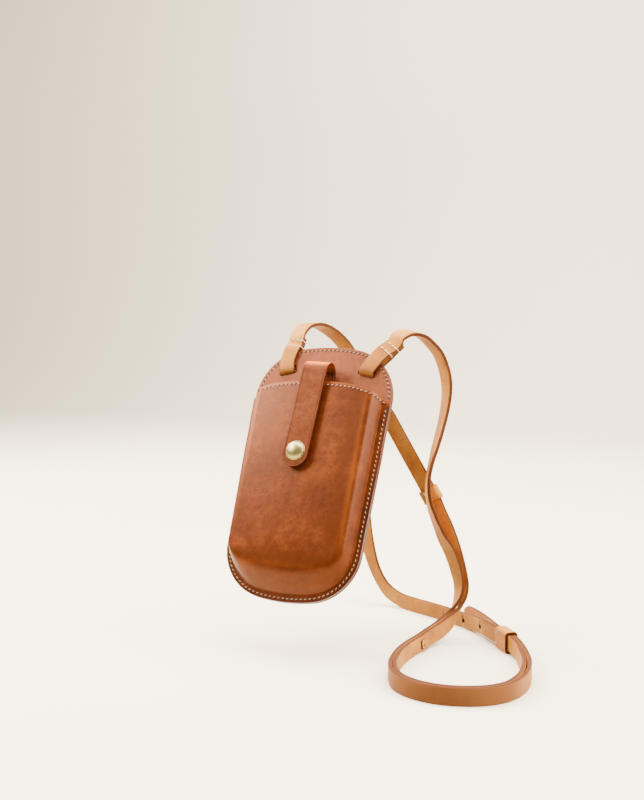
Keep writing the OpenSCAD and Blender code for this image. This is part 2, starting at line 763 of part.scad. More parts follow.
lower_at = pair[1];
lower_dir = pair[2][0] - pair[0][0];
lower_slot_t = 2 * strap_t + layer_gap + 2 * keeper_play;
module lower_keeper_frame() {
    strap_frame(lower_at[0], lower_dir, lower_at[1]) children();
}
module lower_keeper() {
    color(strap_colour) lower_keeper_frame() band(keeper_slot_w, lower_slot_t, lower_keeper_l);
}

// Two stitches that close each band
module band_stitches(y0, z0) {
    for (s = [-1, 1])
        translate([s * strap_w / 4, y0, z0]) plate(0, thread_h) square([2 * thread_w, thread_w], center = true);
}
module upper_keeper_thread() {
    color("#F1D9B5") upper_keeper_frame()
        band_stitches(-upper_slot_t / 2 - keeper_t, upper_keeper_l / 2);
}
module lower_keeper_thread() {
    color("#F1D9B5") lower_keeper_frame() mirror([0, 1, 0])
        band_stitches(-lower_slot_t / 2 - keeper_t, -lower_keeper_l / 2 + stitch_inset);
}

// Where the long strap is lengthened: a narrow tongue held by a stud
splice_l = 12;
splice_w = 7;
splice_t = 1;
splice_stud_d = 3.4;
splice_index = 20;
splice_at = pair_layer(1)[splice_index];
splice_dir = pair[splice_index + 1][0] - pair[splice_index - 1][0];
module splice_frame() {
    strap_frame(splice_at[0], splice_dir, splice_at[1]) translate([0, strap_t / 2 + fold_gap, 0]) children();
}
module splice_tongue() {
    color(strap_colour) splice_frame() mirror([0, 1, 0])
        plate(0, splice_t) {
            square([splice_w, splice_l - splice_w], center = true);
            translate([0, (splice_l - splice_w) / 2]) circle(d = splice_w, $fn = 32);
        }
}
module splice_stud() {
    stud_dome_h = splice_stud_d / 3;
    color("#C98A55") splice_frame() translate([0, splice_t, 0]) rotate([-90, 0, 0])
        rotate_extrude($fn = 32)
            polygon([[0, 0], [splice_stud_d / 2, 0], [splice_stud_d / 3, stud_dome_h / 2], [0, stud_dome_h]]);
}

back_panel();
back_lining();
back_yoke();
front_pocket();
edge_thread();
mouth_thread();
tab_root();
tab_root_thread();
tab_bend();
tab_flap();
snap_cap();
snap_socket();
snap_stud();
snap_washer();
strap_long();
strap_short();
left_loop_thread();
right_loop_thread();
upper_keeper();
lower_keeper();
upper_keeper_thread();
lower_keeper_thread();
splice_tongue();
splice_stud();
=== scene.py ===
"""Wet-moulded leather phone pouch with a snap closure tab and a long shoulder strap."""
import math

import bmesh
import bpy
from mathutils import Matrix, Vector


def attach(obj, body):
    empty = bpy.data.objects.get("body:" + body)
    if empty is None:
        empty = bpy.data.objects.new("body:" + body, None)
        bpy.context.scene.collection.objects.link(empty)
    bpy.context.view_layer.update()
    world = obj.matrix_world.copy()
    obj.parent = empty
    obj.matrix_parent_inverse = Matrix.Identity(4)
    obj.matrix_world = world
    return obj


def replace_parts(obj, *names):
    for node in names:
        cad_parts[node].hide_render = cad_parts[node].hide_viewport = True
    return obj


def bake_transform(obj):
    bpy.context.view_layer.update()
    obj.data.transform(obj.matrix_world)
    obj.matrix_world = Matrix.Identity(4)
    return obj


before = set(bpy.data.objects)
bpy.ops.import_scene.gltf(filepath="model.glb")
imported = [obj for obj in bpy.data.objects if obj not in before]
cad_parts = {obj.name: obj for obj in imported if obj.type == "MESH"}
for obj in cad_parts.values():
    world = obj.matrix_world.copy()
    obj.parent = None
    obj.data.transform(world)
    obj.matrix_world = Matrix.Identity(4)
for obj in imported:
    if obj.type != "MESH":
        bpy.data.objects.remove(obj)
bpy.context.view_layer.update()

# Sizes in millimetres, the same as the part's own
MM = 0.001
LEAN = math.radians(24.5)
TURN = math.radians(0.3)
TABLE_Z = -126
HALF_W = 55
SHOULDER_SWELL = 1.3
BOTTOM_TAPER = 1.8
PANEL_TOP = 102
PANEL_DROP = 95
TOP_ARC_R = 150
TOP_CORNER_R = 41
BOTTOM_ARC_R = 130
BOTTOM_CORNER_R = 38.5
LINING_T = 1.5
PANEL_T = 3
YOKE_Z = 75
SEAM_GAP = 0.3
POCKET_T = 2
MOULD_DEPTH = 13
FLANGE_W = 4.6
SIDE_RUN = 9
LEFT_FLANGE_W = 3.6
LEFT_RUN = 3
BOTTOM_RUN = 20
FACE_CORNER_R = 12
MOUTH_TOP = 69
MOUTH_DROP = 10.5
STITCH_INSET = 2.5
SLOT_X = 33
SLOT_Z = 82.5
SLOT_L = 14
SLOT_H = 7.6
SLOT_CORNER_R = 2
SLOT_TILT = math.radians(14)
TAB_W = 20
TAB_T = 2.2
TAB_SHIFT = 1.8
TAB_SKEW = math.radians(2.3)
ROOT_L = 34
BEND_Z = MOUTH_TOP + 7.5
TIP_L = 12
SNAP_GAP = 3
SNAP_Z = 12.5
CAP_D = 15
CAP_RIM_T = 0.7
CAP_DOME_H = 2.9
STRAP_W = 12
STRAP_T = 2.8
KEEPER_T = 1.6
UPPER_KEEPER_L = 11
LOWER_KEEPER_L = 18
KEEPER_PLAY = 0.4
HOLE_D = 3
HOLE_PITCH = 25
HOLE_COUNT = 3
FACE_Y = -PANEL_T - MOULD_DEPTH
STITCH_PITCH = 3.5

# Places in the pouch's own frame: rear face y = 0, front towards -y, millimetres
ATTITUDE = Matrix.Rotation(-LEAN, 4, "X") @ Matrix.Rotation(TURN, 4, "Y")
TAB_FRAME = ATTITUDE @ Matrix.Translation((-TAB_SHIFT, 0, BEND_Z)) @ Matrix.Rotation(TAB_SKEW, 4, "Y")
SNAP_FRAME = TAB_FRAME @ Matrix.Translation((0, 0, SNAP_Z - BEND_Z))
FRONT = Vector((0, -1, 0))
UP = Vector((0, 0, 1))
RIGHT = Vector((1, 0, 0))
# Stands up what is drawn flat: its Y turns to Z, and its Z to the front
STOOD_UP = Matrix.Rotation(math.pi / 2, 4, "X")


def placed(point, where=ATTITUDE):
    """A point in millimetres in a frame of the pouch, as a point of the row frame in metres."""
    return (where @ Vector(point)) * MM


def clamped(value):
    return max(0.0, min(1.0, value))


def ramped(value, start, end):
    """How far a value has come from start to end, kept between 0 and 1."""
    return clamped((value - start) / (end - start))


def between(a, b, c, d, t):
    """A smooth value between b and c at t from 0 to 1, with a and d beyond them."""
    return (b + (c - a) * (t / 2) + (a * 2 - b * 5 + c * 4 - d) * (t * t / 2)
            + ((b - c) * 3 + d - a) * (t * t * t / 2))


# Outlines, as (x, z) in millimetres
def arc(cx, cz, r, a0, a1, steps):
    angles = [a0 + (a1 - a0) * i / steps for i in range(steps + 1)]
    return [(cx + r * math.cos(a), cz + r * math.sin(a)) for a in angles]


def spun(profile, segments):
    """Rings of points from a profile of (radius, y), turned about the Y axis."""
    return [(x, y, z) for r, y in profile for x, z in arc(0, 0, r, 0, 2 * math.pi, segments)[:-1]]


def rounded_section(half_w, half_t, r, steps=4, insets=()):
    """A rectangle with rounded corners, with more points on its two long faces at the insets."""
    flat = [half_w - inset for inset in insets]
    flat += [-x for x in reversed(flat)]
    out = []
    for quarter, (sx, st) in enumerate(((1, 1), (-1, 1), (-1, -1), (1, -1))):
        start = quarter * math.pi / 2
        out += arc(sx * (half_w - r), st * (half_t - r), r, start, start + math.pi / 2, steps)
        if quarter in (0, 2):
            out += [(x * st, st * half_t) for x in flat]
    return out


def bottom_half(half_w, drop, r, big_r, steps):
    """Right half of a rounded bottom edge, from the middle out to the side."""
    b = math.asin((half_w - r) / (big_r - r))
    cz = big_r - drop - math.sqrt((big_r - r) ** 2 - (half_w - r) ** 2)
    shallow = arc(0, big_r - drop, big_r, -math.pi / 2, b - math.pi / 2, steps)
    return shallow + arc(half_w - r, cz, r, b - math.pi / 2, 0, steps)[1:]


def panel_bottom(inset, steps):
    return bottom_half(HALF_W - BOTTOM_TAPER - inset, PANEL_DROP - inset, BOTTOM_CORNER_R - inset,
                       BOTTOM_ARC_R - inset, steps)


# The panel's side: how far it stands out from HALF_W, at heights as shares of PANEL_TOP
SIDE_STATIONS = ((-BOTTOM_TAPER, -0.3), (0.1 * SHOULDER_SWELL, 0.08), (0.4 * SHOULDER_SWELL, 0.3),
                 (0.9 * SHOULDER_SWELL, 0.52), (SHOULDER_SWELL, 0.6))
OUTLINE_STEPS = 24


def panel_side(inset):
    """Right side of the outline between its corners, a little fuller at the shoulder."""
    across = [HALF_W - inset + out for out, _ in SIDE_STATIONS]
    heights = [share * PANEL_TOP for _, share in SIDE_STATIONS]
    points = []
    for i in range(1, len(across) - 2):
        for t in (0, 0.25, 0.5, 0.75):
            points.append((between(*across[i - 1:i + 3], t), heights[i] + (heights[i + 1] - heights[i]) * t))
    return points + [(across[-2], heights[-2])]


def panel_half(inset):
    """Right half of the panel's outline, drawn in by an inset, from its bottom to its top."""
    top = bottom_half(HALF_W + SHOULDER_SWELL - inset, PANEL_TOP - inset, TOP_CORNER_R - inset,
                      TOP_ARC_R - inset, OUTLINE_STEPS)
    return panel_bottom(inset, OUTLINE_STEPS) + panel_side(inset) + [(x, -z) for x, z in reversed(top)]


def whole(half):
    """A closed outline from its right half, which starts and ends on the middle line."""
    return half + [(-x, z) for x, z in half[-2:0:-1]]


def full_row(left, right, y):
    """A row of points at a depth, from its two halves, which both start at the middle."""
    return [(-x, y, z) for x, z in left[:0:-1]] + [(x, y, z) for x, z in right]


def mouth_z(x):
    return MOUTH_TOP - MOUTH_DROP * (abs(x) / HALF_W) ** 3


def lengths_along(points):
    """How far along a line each of its points lies."""
    run = [0]
    for a, b in zip(points, points[1:]):
        run.append(run[-1] + (b - a).length)
    return run


def evenly(points, count):
    """Points at an even spacing along a line, in a number of steps."""
    run = lengths_along(points)
    out, k = [], 0
    for i in range(count + 1):
        d = run[-1] * i / count
        while k < len(run) - 2 and run[k + 1] < d:
            k += 1
        out.append(points[k].lerp(points[k + 1], (d - run[k]) / max(run[k + 1] - run[k], 1e-9)))
    return out


# Faces and pieces
def row_faces(rows, n, ring=True, closed=False):
    """Faces between rows of n points; a row may be a ring, and the last row may join the first."""
    return [(i * n + j, i * n + (j + 1) % n, (i + 1) % rows * n + (j + 1) % n, (i + 1) % rows * n + j)
            for i in range(rows if closed else rows - 1) for j in range(n if ring else n - 1)]


def swept_faces(rows, n):
    """Side faces and both ends of a row of rings of n points."""
    last = (rows - 1) * n
    return row_faces(rows, n) + [tuple(range(n - 1, -1, -1)), tuple(range(last, last + n))]


def linked(name, data):
    """A new object in the scene."""
    thing = bpy.data.objects.new(name, data)
    bpy.context.scene.collection.objects.link(thing)
    return thing


def new_piece(name, points, faces, where, material, body, turned_out=True):
    """A piece from points in millimetres in a frame."""
    mesh = bpy.data.meshes.new(name)
    mesh.from_pydata([tuple(placed(p, where)) for p in points], [], faces)
    mesh.validate()
    piece = linked(name, mesh)
    if turned_out:
        turn_outward(piece)
    return finished(piece, material, body)


def finished(piece, material, body, smooth=True):
    """Gives a piece its material, shading and body."""
    piece.data.materials.clear()
    piece.data.materials.append(material)
    for polygon in piece.data.polygons:
        polygon.use_smooth = smooth
        polygon.material_index = 0
    if body:
        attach(piece, body)
    return piece


def evaluated_mesh(piece):
    """A piece's mesh with its modifiers and its place made part of it."""
    depsgraph = bpy.context.evaluated_depsgraph_get()
    mesh = bpy.data.meshes.new_from_object(piece.evaluated_get(depsgraph), depsgraph=depsgraph)
    mesh.transform(piece.matrix_world)
    return mesh


def apply_modifiers(piece):
    mesh = evaluated_mesh(piece)
    piece.modifiers.clear()
    piece.data = mesh


def turn_outward(piece):
    """Joins points that coincide and turns the faces outward."""
    bm = bmesh.new()
    bm.from_mesh(piece.data)
    bmesh.ops.remove_doubles(bm, verts=bm.verts, dist=1e-6)
    bmesh.ops.recalc_face_normals(bm, faces=bm.faces)
    bm.to_mesh(piece.data)
    bm.free()


def mark(piece, name, value_at, where=ATTITUDE):
    """Stores a number for the material on each point, worked out from its place in a frame."""
    inverse = where.inverted()
    layer = piece.data.attributes.new(name, "FLOAT", "POINT")
    layer.data.foreach_set("value", [value_at(*(inverse @ (v.co / MM))) for v in piece.data.vertices])


# Materials
def linear(hex_colour):
    """An sRGB hex colour as linear RGBA."""
    channels = [int(hex_colour[i:i + 2], 16) / 255 for i in (1, 3, 5)]
    return tuple(c / 12.92 if c <= 0.04045 else ((c + 0.055) / 1.055) ** 2.4 for c in channels) + (1,)


def per_mm(size):
    """A texture scale in object coordinates that gives features of a size in millimetres."""
    return 1 / (size * MM)


def add(tree, kind, inputs, **settings):
    """Adds a node with its settings and links; a node given as an input stands for its first output."""
    node = tree.nodes.new(kind)
    for key, value in settings.items():
        setattr(node, key, value)
    for key, value in inputs.items():
        if isinstance(value, bpy.types.Node):
            value = value.outputs[0]
        if isinstance(value, bpy.types.NodeSocket):
            tree.links.new(value, node.inputs[key])
        else:
            node.inputs[key].default_value = value
    return node


def start_material(name):
    """A new material, its empty tree and its object coordinates."""
    material = bpy.data.materials.new(name)
    material.use_nodes = True
    tree = material.node_tree
    tree.nodes.clear()
    return material, tree, add(tree, "ShaderNodeTexCoord", {}).outputs["Object"]


def end_material(material, inputs):
    """Gives a material its one shader and its output."""
    shader = add(material.node_tree, "ShaderNodeBsdfPrincipled", inputs)
    add(material.node_tree, "ShaderNodeOutputMaterial", {"Surface": shader})
    return material


def stops(ramp, colours):
    """Sets a ramp's stops from (place, hex colour or grey value)."""
    while len(ramp.color_ramp.elements) < len(colours):
        ramp.color_ramp.elements.new(0.5)
    for element, (at, colour) in zip(ramp.color_ramp.elements, colours):
        element.position = at
        element.color = linear(colour) if isinstance(colour, str) else (colour, colour, colour, 1)
    return ramp


def patches(tree, at, size, colours, **noise):
    """Cloudy patches of a size in millimetres in the given colours, and the plain clouds under them."""
    cloud = add(tree, "ShaderNodeTexNoise", {"Vector": at, "Scale": per_mm(size), **noise})
    return stops(add(tree, "ShaderNodeValToRGB", {"Fac": cloud}), colours), cloud


def marked_colour(tree, colour, marks):
    """A colour that turns to another wherever the piece carries a mark, for each (mark, colour)."""
    for name, turned_to in marks:
        amount = add(tree, "ShaderNodeAttribute", {}, attribute_name=name)
        mixed = add(tree, "ShaderNodeMix", {"Factor": amount.outputs["Fac"], "A": colour,
                                            "B": linear(turned_to)}, data_type="RGBA")
        colour = mixed.outputs["Result"]
    return colour


def pored_skin(tree, at, grain, strength, depth):
    """Relief of pores in cells of about 0.8 mm, with a grain over them."""
    pores = add(tree, "ShaderNodeTexVoronoi", {"Vector": at, "Scale": per_mm(0.8)},
                feature="DISTANCE_TO_EDGE")
    height = add(tree, "ShaderNodeMath", {0: pores, 1: grain}, operation="ADD")
    return add(tree, "ShaderNodeBump", {"Height": height, "Strength": strength, "Distance": depth * MM})


def waxed_leather(name, tones, marks, rough, ior=1.48, bump=0.3, tint="#FFA878"):
    """Full-grain cowhide, drum dyed and waxed by hand.

    The dye takes unevenly in cloudy patches, fine pores catch the light, thin scuffs cross it, and the cut
    edges are burnished. The marks it is given add painted shade beside creases and at the foot of walls, and
    lighter wax where the leather is stretched, which also stands as a painted highlight.
    """
    deep, mid, light = tones
    material, tree, at = start_material(name)
    tone, _ = patches(tree, at, 26, [(0.3, deep), (0.5, mid), (0.7, light)], Detail=6, Roughness=0.7,
                      Distortion=0.3)
    # Mottling of about 4 mm with a fine fleck in it, a little coarser than the real so that it shows
    fleck, mottle = patches(tree, at, 4, [(0.36, 0.5), (0.62, 1.0)], Detail=7, Roughness=0.85)
    mottled = add(tree, "ShaderNodeMix", {"Factor": 0.85, "A": tone, "B": fleck},
                  data_type="RGBA", blend_type="MULTIPLY")
    # Scuffs: long thin cells stretched across the face
    stretched = add(tree, "ShaderNodeMapping", {"Vector": at, "Rotation": (0.3, 0.5, 0.9),
                                                "Scale": (1, 1, 0.12)})
    scratch = add(tree, "ShaderNodeTexVoronoi", {"Vector": stretched, "Scale": per_mm(9)},
                  feature="DISTANCE_TO_EDGE")
    thin = stops(add(tree, "ShaderNodeValToRGB", {"Fac": scratch}), [(0.0, 0.32), (0.012, 0.0)])
    scuffed = add(tree, "ShaderNodeMix", {"Factor": thin, "A": mottled.outputs["Result"],
                                          "B": linear(light)}, data_type="RGBA")
    # Creases of about 7 mm over the pores
    grain = add(tree, "ShaderNodeTexNoise", {"Vector": at, "Scale": per_mm(0.4), "Detail": 3})
    crease = add(tree, "ShaderNodeTexNoise", {"Vector": at, "Scale": per_mm(7), "Detail": 6,
                                              "Roughness": 0.6, "Distortion": 1.2})
    wrinkled = add(tree, "ShaderNodeBump", {"Height": crease, "Strength": bump, "Distance": 0.5 * MM,
                                            "Normal": pored_skin(tree, at, grain, bump * 0.5, 0.12)})
    gloss = stops(add(tree, "ShaderNodeValToRGB", {"Fac": mottle}),
                  [(0.3, rough - 0.05), (0.7, rough + 0.07)])
    return end_material(material, {
        "Base Color": marked_colour(tree, scuffed.outputs["Result"], marks), "Roughness": gloss, "IOR": ior,
        "Specular Tint": linear(tint), "Normal": wrinkled})


def natural_leather(name, tones, marks):
    """Vegetable-tanned cowhide left undyed, its face smooth and dry.

    The face is tan with a close fibre grain and darkens in soft patches, a mark paints shade on it, and its
    cut edges are burnished to a redder brown.
    """
    shade, mid, light = tones
    material, tree, at = start_material(name)
    tone, _ = patches(tree, at, 24, [(0.34, shade), (0.5, mid), (0.68, light)], Detail=4, Roughness=0.6)
    fleck, fibre = patches(tree, at, 1.1, [(0.36, 0.66), (0.62, 1.0)], Detail=5, Roughness=0.75)
    mottled = add(tree, "ShaderNodeMix", {"Factor": 0.8, "A": tone, "B": fleck},
                  data_type="RGBA", blend_type="MULTIPLY")
    return end_material(material, {
        "Base Color": marked_colour(tree, mottled.outputs["Result"], marks), "Roughness": 0.58, "IOR": 1.28,
        "Specular Tint": linear("#FFB468"), "Normal": pored_skin(tree, at, fibre, 0.22, 0.15)})


def waxed_thread(name, colour, shade):
    """Waxed linen thread, two plies; the twist shows as fine slanting lines."""
    material, tree, at = start_material(name)
    twist = add(tree, "ShaderNodeTexWave", {"Vector": at, "Scale": per_mm(3), "Distortion": 1.5,
                                            "Detail": 2}, bands_direction="DIAGONAL")
    bands = twist.outputs["Fac"]
    tone = stops(add(tree, "ShaderNodeValToRGB", {"Fac": bands}), [(0.2, shade), (0.7, colour)])
    ply = add(tree, "ShaderNodeBump", {"Height": bands, "Strength": 0.4, "Distance": 0.1 * MM})
    return end_material(material, {"Base Color": tone, "Roughness": 0.6, "Normal": ply})


def plated_brass(name, colour, tarnish):
    """Stamped brass with a pale satin plating, rubbed brighter and smoother in small patches and duller
    between.
    """
    material, tree, at = start_material(name)
    tone, wear = patches(tree, at, 2.5, [(0.35, tarnish), (0.6, colour)], Detail=5, Roughness=0.6)
    gloss = stops(add(tree, "ShaderNodeValToRGB", {"Fac": wear}), [(0.3, 0.36), (0.7, 0.3)])
    fine = add(tree, "ShaderNodeTexNoise", {"Vector": at, "Scale": per_mm(0.3), "Detail": 2})
    skin = add(tree, "ShaderNodeBump", {"Height": fine, "Strength": 0.08, "Distance": 0.05 * MM})
    return end_material(material, {"Base Color": tone, "Metallic": 1.0, "Roughness": gloss, "Normal": skin})


def hole_shadow(name, colour, fringe):
    """Painted shade for the dark inside of an awl hole or punched hole, with a little raw fibre."""
    material, tree, at = start_material(name)
    tone, _ = patches(tree, at, 0.5, [(0.3, colour), (0.7, fringe)])
    return end_material(material, {"Base Color": tone, "Roughness": 0.9})


# On the pocket: painted shade beside the creases and low on the wall, lighter wax with painted highlight, and
# dark burnishing with painted shade
POCKET_LEATHER = waxed_leather("waxed_cowhide_pocket", ("#401804", "#592406", "#76360F"),
                               (("painted_shade", "#451A01"), ("pull_and_highlight", "#A4541C"), ("edge", "#33100A")),
                               0.34, bump=0.22)
PANEL_LEATHER = waxed_leather("waxed_cowhide_panel", ("#6E3620", "#7B4026", "#88492E"),
                              (("edge", "#3A1A14"),), 0.48, 1.42)
LINING_LEATHER = waxed_leather("waxed_cowhide_lining", ("#6A3320", "#7A3F2A", "#8A4C34"),
                               (("edge", "#5A2E22"),), 0.55)
# On the tab: a painted highlight over the top of the bend, and its burnished edges
TAB_LEATHER = waxed_leather("waxed_cowhide_tab", ("#62321A", "#6E3B22", "#7C452A"),
                            (("pull_and_highlight", "#E06600"), ("edge", "#3C140A")), 0.54, 1.16, tint="#FF8C3C")
# On the strap: painted shade on the loop's front and low on the folds, and its burnished edges
STRAP_LEATHER = natural_leather("vegetable_tanned_strap", ("#A8652A", "#BE7930", "#D08D3E"),
                                (("painted_strap_shade", "#7C4A2A"), ("edge", "#4C2412")))
THREAD = waxed_thread("waxed_linen_thread", "#C49260", "#9C6E42")
LOOP_THREAD = waxed_thread("waxed_linen_thread_pale", "#EDD6AE", "#CDA878")
BRASS = plated_brass("plated_brass_satin", "#A4965C", "#86764A")
# Painted shade for the insides of the holes
HOLE_SHADE = hole_shadow("awl_hole_shadow", "#140705", "#260E08")


# The panel
PLATE_BEVEL = 0.3
BURNISHED_W = 0.35


def plate(name, outline, holes, back, front):
    """A flat piece with rounded edges, cut to an outline with holes, between two depths."""
    curve = bpy.data.curves.new(name, "CURVE")
    curve.dimensions = "2D"
    curve.fill_mode = "BOTH"
    for loop in [outline] + holes:
        spline = curve.splines.new("POLY")
        spline.points.add(len(loop) - 1)
        for point, (x, z) in zip(spline.points, loop):
            point.co = (x * MM, z * MM, 0, 1)
        spline.use_cyclic_u = True
    curve.offset = -PLATE_BEVEL * MM
    curve.extrude = ((front - back) / 2 - PLATE_BEVEL) * MM
    curve.bevel_depth = PLATE_BEVEL * MM
    curve.bevel_resolution = 3
    drawn = linked(name + "_outline", curve)
    drawn.matrix_world = ATTITUDE @ Matrix.Translation((0, -(front + back) / 2 * MM, 0)) @ STOOD_UP
    bpy.context.view_layer.update()
    piece = linked(name, evaluated_mesh(drawn))
    bpy.data.objects.remove(drawn)
    turn_outward(piece)
    return piece


def slot_outline(side):
    """The outline of a strap slot, tilted the way its strap leaves."""
    tilt = side * SLOT_TILT
    return [(side * SLOT_X + x * math.cos(tilt) + z * math.sin(tilt),
             SLOT_Z + z * math.cos(tilt) - x * math.sin(tilt))
            for x, z in rounded_section(SLOT_L / 2, SLOT_H / 2, SLOT_CORNER_R, 8)]


def cut_at(outline, z, above):
    """The part of a closed outline above or below a height."""
    out = []
    for a, b in zip(outline, outline[1:] + outline[:1]):
        if (a[1] >= z) == above:
            out.append(a)
        if (a[1] - z) * (b[1] - z) < 0:
            t = (z - a[1]) / (b[1] - a[1])
            out.append((a[0] + (b[0] - a[0]) * t, z))
    return out


def make_panel():
    slots = [slot_outline(-1), slot_outline(1)]
    outline = whole(panel_half(0))
    low, high = cut_at(outline, YOKE_Z - SEAM_GAP, False), cut_at(outline, YOKE_Z, True)
    for name, node, material, slot, shape, holes, back, front in (
            ("panel_outer", "back_panel", PANEL_LEATHER, "panel_leather", outline, slots, LINING_T, PANEL_T),
            ("panel_lining", "back_lining", LINING_LEATHER, "lining_leather", low, [], 0, LINING_T),
            ("panel_yoke", "back_yoke", LINING_LEATHER, "lining_leather", high, slots, 0, LINING_T)):
        piece = finished(plate(name, shape, holes, back, front), material, "pouch", smooth=False)
        # Burnished between the two faces, fully on the middle of the cut edge
        mark(piece, "edge", lambda x, y, z: clamped(min(-y - back, front + y) / BURNISHED_W))
        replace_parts(piece, node)


# The moulded pocket: shares of the wall's run and of its depth
SIDE_SHARES = (0, 0.05, 0.2, 0.38, 0.54, 0.73, 1)
BOTTOM_SHARES = (0, 0.07, 0.26, 0.5, 0.68, 0.84, 1)
DEPTH_SHARES = (0, 0.16, 0.42, 0.68, 0.86, 0.96, 1)
WALL_STEPS = 24
FACE_STEPS = 16
SIDE_POINTS = 40
FACE_CROWN = 0.7
FACE_HEART_Z = -45
LOFT_TOP = MOUTH_TOP + 2 * POCKET_T
FLANGE_Y = -PANEL_T - POCKET_T
FLANGE_INSETS = (0, 0.4, 1.0, 1.6, STITCH_INSET, 3.1)
POCKET_STEPS = 14
FACE_RIGHT = HALF_W - FLANGE_W - SIDE_RUN
FACE_LEFT = LEFT_FLANGE_W + LEFT_RUN - HALF_W
FACE_LOW = FLANGE_W + BOTTOM_RUN - PANEL_DROP
# How far in the face's rows go before it is closed, and the height above which they follow the mouth
FACE_REACH = 0.985
MOUTH_BLEND_Z = 40


def on_table(table, t):
    """A smooth value from a table of evenly spaced ones, at t from 0 to 1."""
    n = len(table) - 1
    i = min(int(t * n), n - 1)
    before = table[i - 1] if i else 2 * table[0] - table[1]
    after = table[i + 2] if i + 2 <= n else 2 * table[n] - table[n - 1]
    return between(before, table[i], table[i + 1], after, t * n - i)


def flange_half(inset):
    """Half a row on the flange, from the middle of the bottom up the side to the mouth."""
    bottom = panel_bottom(inset, POCKET_STEPS)
    shoulder = HALF_W + SHOULDER_SWELL - inset
    side = [bottom[-1]] + [p for p in panel_side(inset) if p[1] < mouth_z(p[0])]
    return half_row(bottom, side + [(shoulder, mouth_z(shoulder))])


def wall_half(flange, run, t):
    """Half a row on the wall, t from 0 at its foot to 1 at the face."""
    inset = flange + run * on_table(SIDE_SHARES, t)
    drop = PANEL_DROP - FLANGE_W - BOTTOM_RUN * on_table(BOTTOM_SHARES, t)
    foot_r = BOTTOM_CORNER_R - flange
    r = foot_r + (FACE_CORNER_R - foot_r) * on_table(BOTTOM_SHARES, t)
    bottom = bottom_half(HALF_W - BOTTOM_TAPER - inset, drop, r, BOTTOM_ARC_R, POCKET_STEPS)
    x0, z0 = bottom[-1]
    x1 = x0 + BOTTOM_TAPER * (mouth_z(HALF_W - inset) - z0) / (LOFT_TOP - z0)
    return half_row(bottom, [(x0, z0), (x1, mouth_z(x1))])


def half_row(bottom, side):
    """A half row with a set number of even steps up its side."""
    return bottom + [tuple(p) for p in evenly([Vector(p) for p in side], SIDE_POINTS)[1:]]


def wall_y(t):
    """Depth of the wall, t from 0 at its foot to 1 at the face."""
    return -PANEL_T - max(MOULD_DEPTH * on_table(DEPTH_SHARES, t), POCKET_T)


def face_y(t):
    """Depth of the slightly crowned face, t from 0 at its edge to 1 at its middle."""
    return FACE_Y - FACE_CROWN * math.sin(t * math.pi / 2)


def pocket_rows():
    """Rows of points from the flange's edge up the wall and in to the middle of the face."""
    rows = []
    for inset in FLANGE_INSETS:
        half = flange_half(inset)
        rows.append(full_row(half, half, FLANGE_Y))
    for i in range(WALL_STEPS + 1):
        t = i / WALL_STEPS
        left = wall_half(LEFT_FLANGE_W, LEFT_RUN, t)
        rows.append(full_row(left, wall_half(FLANGE_W, SIDE_RUN, t), wall_y(t)))
    face = rows[-1]
    for i in range(1, FACE_STEPS + 1):
        t = FACE_REACH * i / FACE_STEPS
        row = []
        for x, _, z in face:
            in_x = x * (1 - t)
            follow = max(0.0, (z - MOUTH_BLEND_Z) / (mouth_z(x) - MOUTH_BLEND_Z))
            drawn_in = z + (max(z, FACE_HEART_Z) - z) * t
            row.append((in_x, face_y(t), drawn_in + (mouth_z(in_x) - mouth_z(x)) * follow))
        rows.append(row)
    return rows


def make_pocket():
    rows = pocket_rows()
    n = len(rows[0])
    last = (len(rows) - 1) * n
    faces = row_faces(len(rows), n, ring=False)
    faces += [(last + j, last + j + 1, last + n - 2 - j, last + n - 1 - j) for j in range((n - 1) // 2)]
    piece = new_piece("pocket_moulded", [p for row in rows for p in row], faces, ATTITUDE, POCKET_LEATHER,
                      None)
    frontward = ATTITUDE.to_3x3() @ FRONT
    if sum(polygon.normal.dot(frontward) for polygon in piece.data.polygons) < 0:
        piece.data.flip_normals()
    wall = piece.modifiers.new("wall", "SOLIDIFY")
    wall.thickness = POCKET_T * MM
    wall.offset = -1
    rounding = piece.modifiers.new("burnished_edge", "BEVEL")
    rounding.width = 0.5 * MM
    rounding.segments = 3
    rounding.limit_method = "ANGLE"
    rounding.angle_limit = math.radians(60)
    apply_modifiers(piece)
    finished(piece, POCKET_LEATHER, "pouch")
    # Dark burnishing, with painted shade on the flange and at the wall's foot
    mark(piece, "edge", pocket_rim_and_shade)
    # Lighter wax with a painted highlight
    mark(piece, "pull_and_highlight", pocket_pull_and_highlight)
    # Painted shade beside the creases and low on the wall
    mark(piece, "painted_shade", pocket_painted_shade)
    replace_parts(piece, "front_pocket")


def pocket_rim_and_shade(x, y, z):
    """Dark burnishing with painted shade on the flange outside its stitches, and painted shade at the wall's
    foot.
    """
    if z > mouth_z(x) - 0.8:
        return 0.0
    side = HALF_W + 0.7 * SHOULDER_SWELL * ramped(z, -10, 50) - BOTTOM_TAPER * ramped(z, 10, -30) - abs(x)
    inside = min(side, bottom_reach(x, z))
    # The painted shade on the flange is stronger on the right and at the bottom
    strength = 0.95 if x > 0 or z < -40 else 0.5
    on_flange = strength * ramped(inside, 1.4, 0.8) * ramped(y, FLANGE_Y - 0.9, FLANGE_Y - 0.5)
    return max(0.2 * ramped(inside, 9, 3) * ramped(z, -52, -66), on_flange)


def ridge(distance, width):
    """A soft line of a width, 1 on its middle."""
    return math.exp(-(distance / width) ** 2)


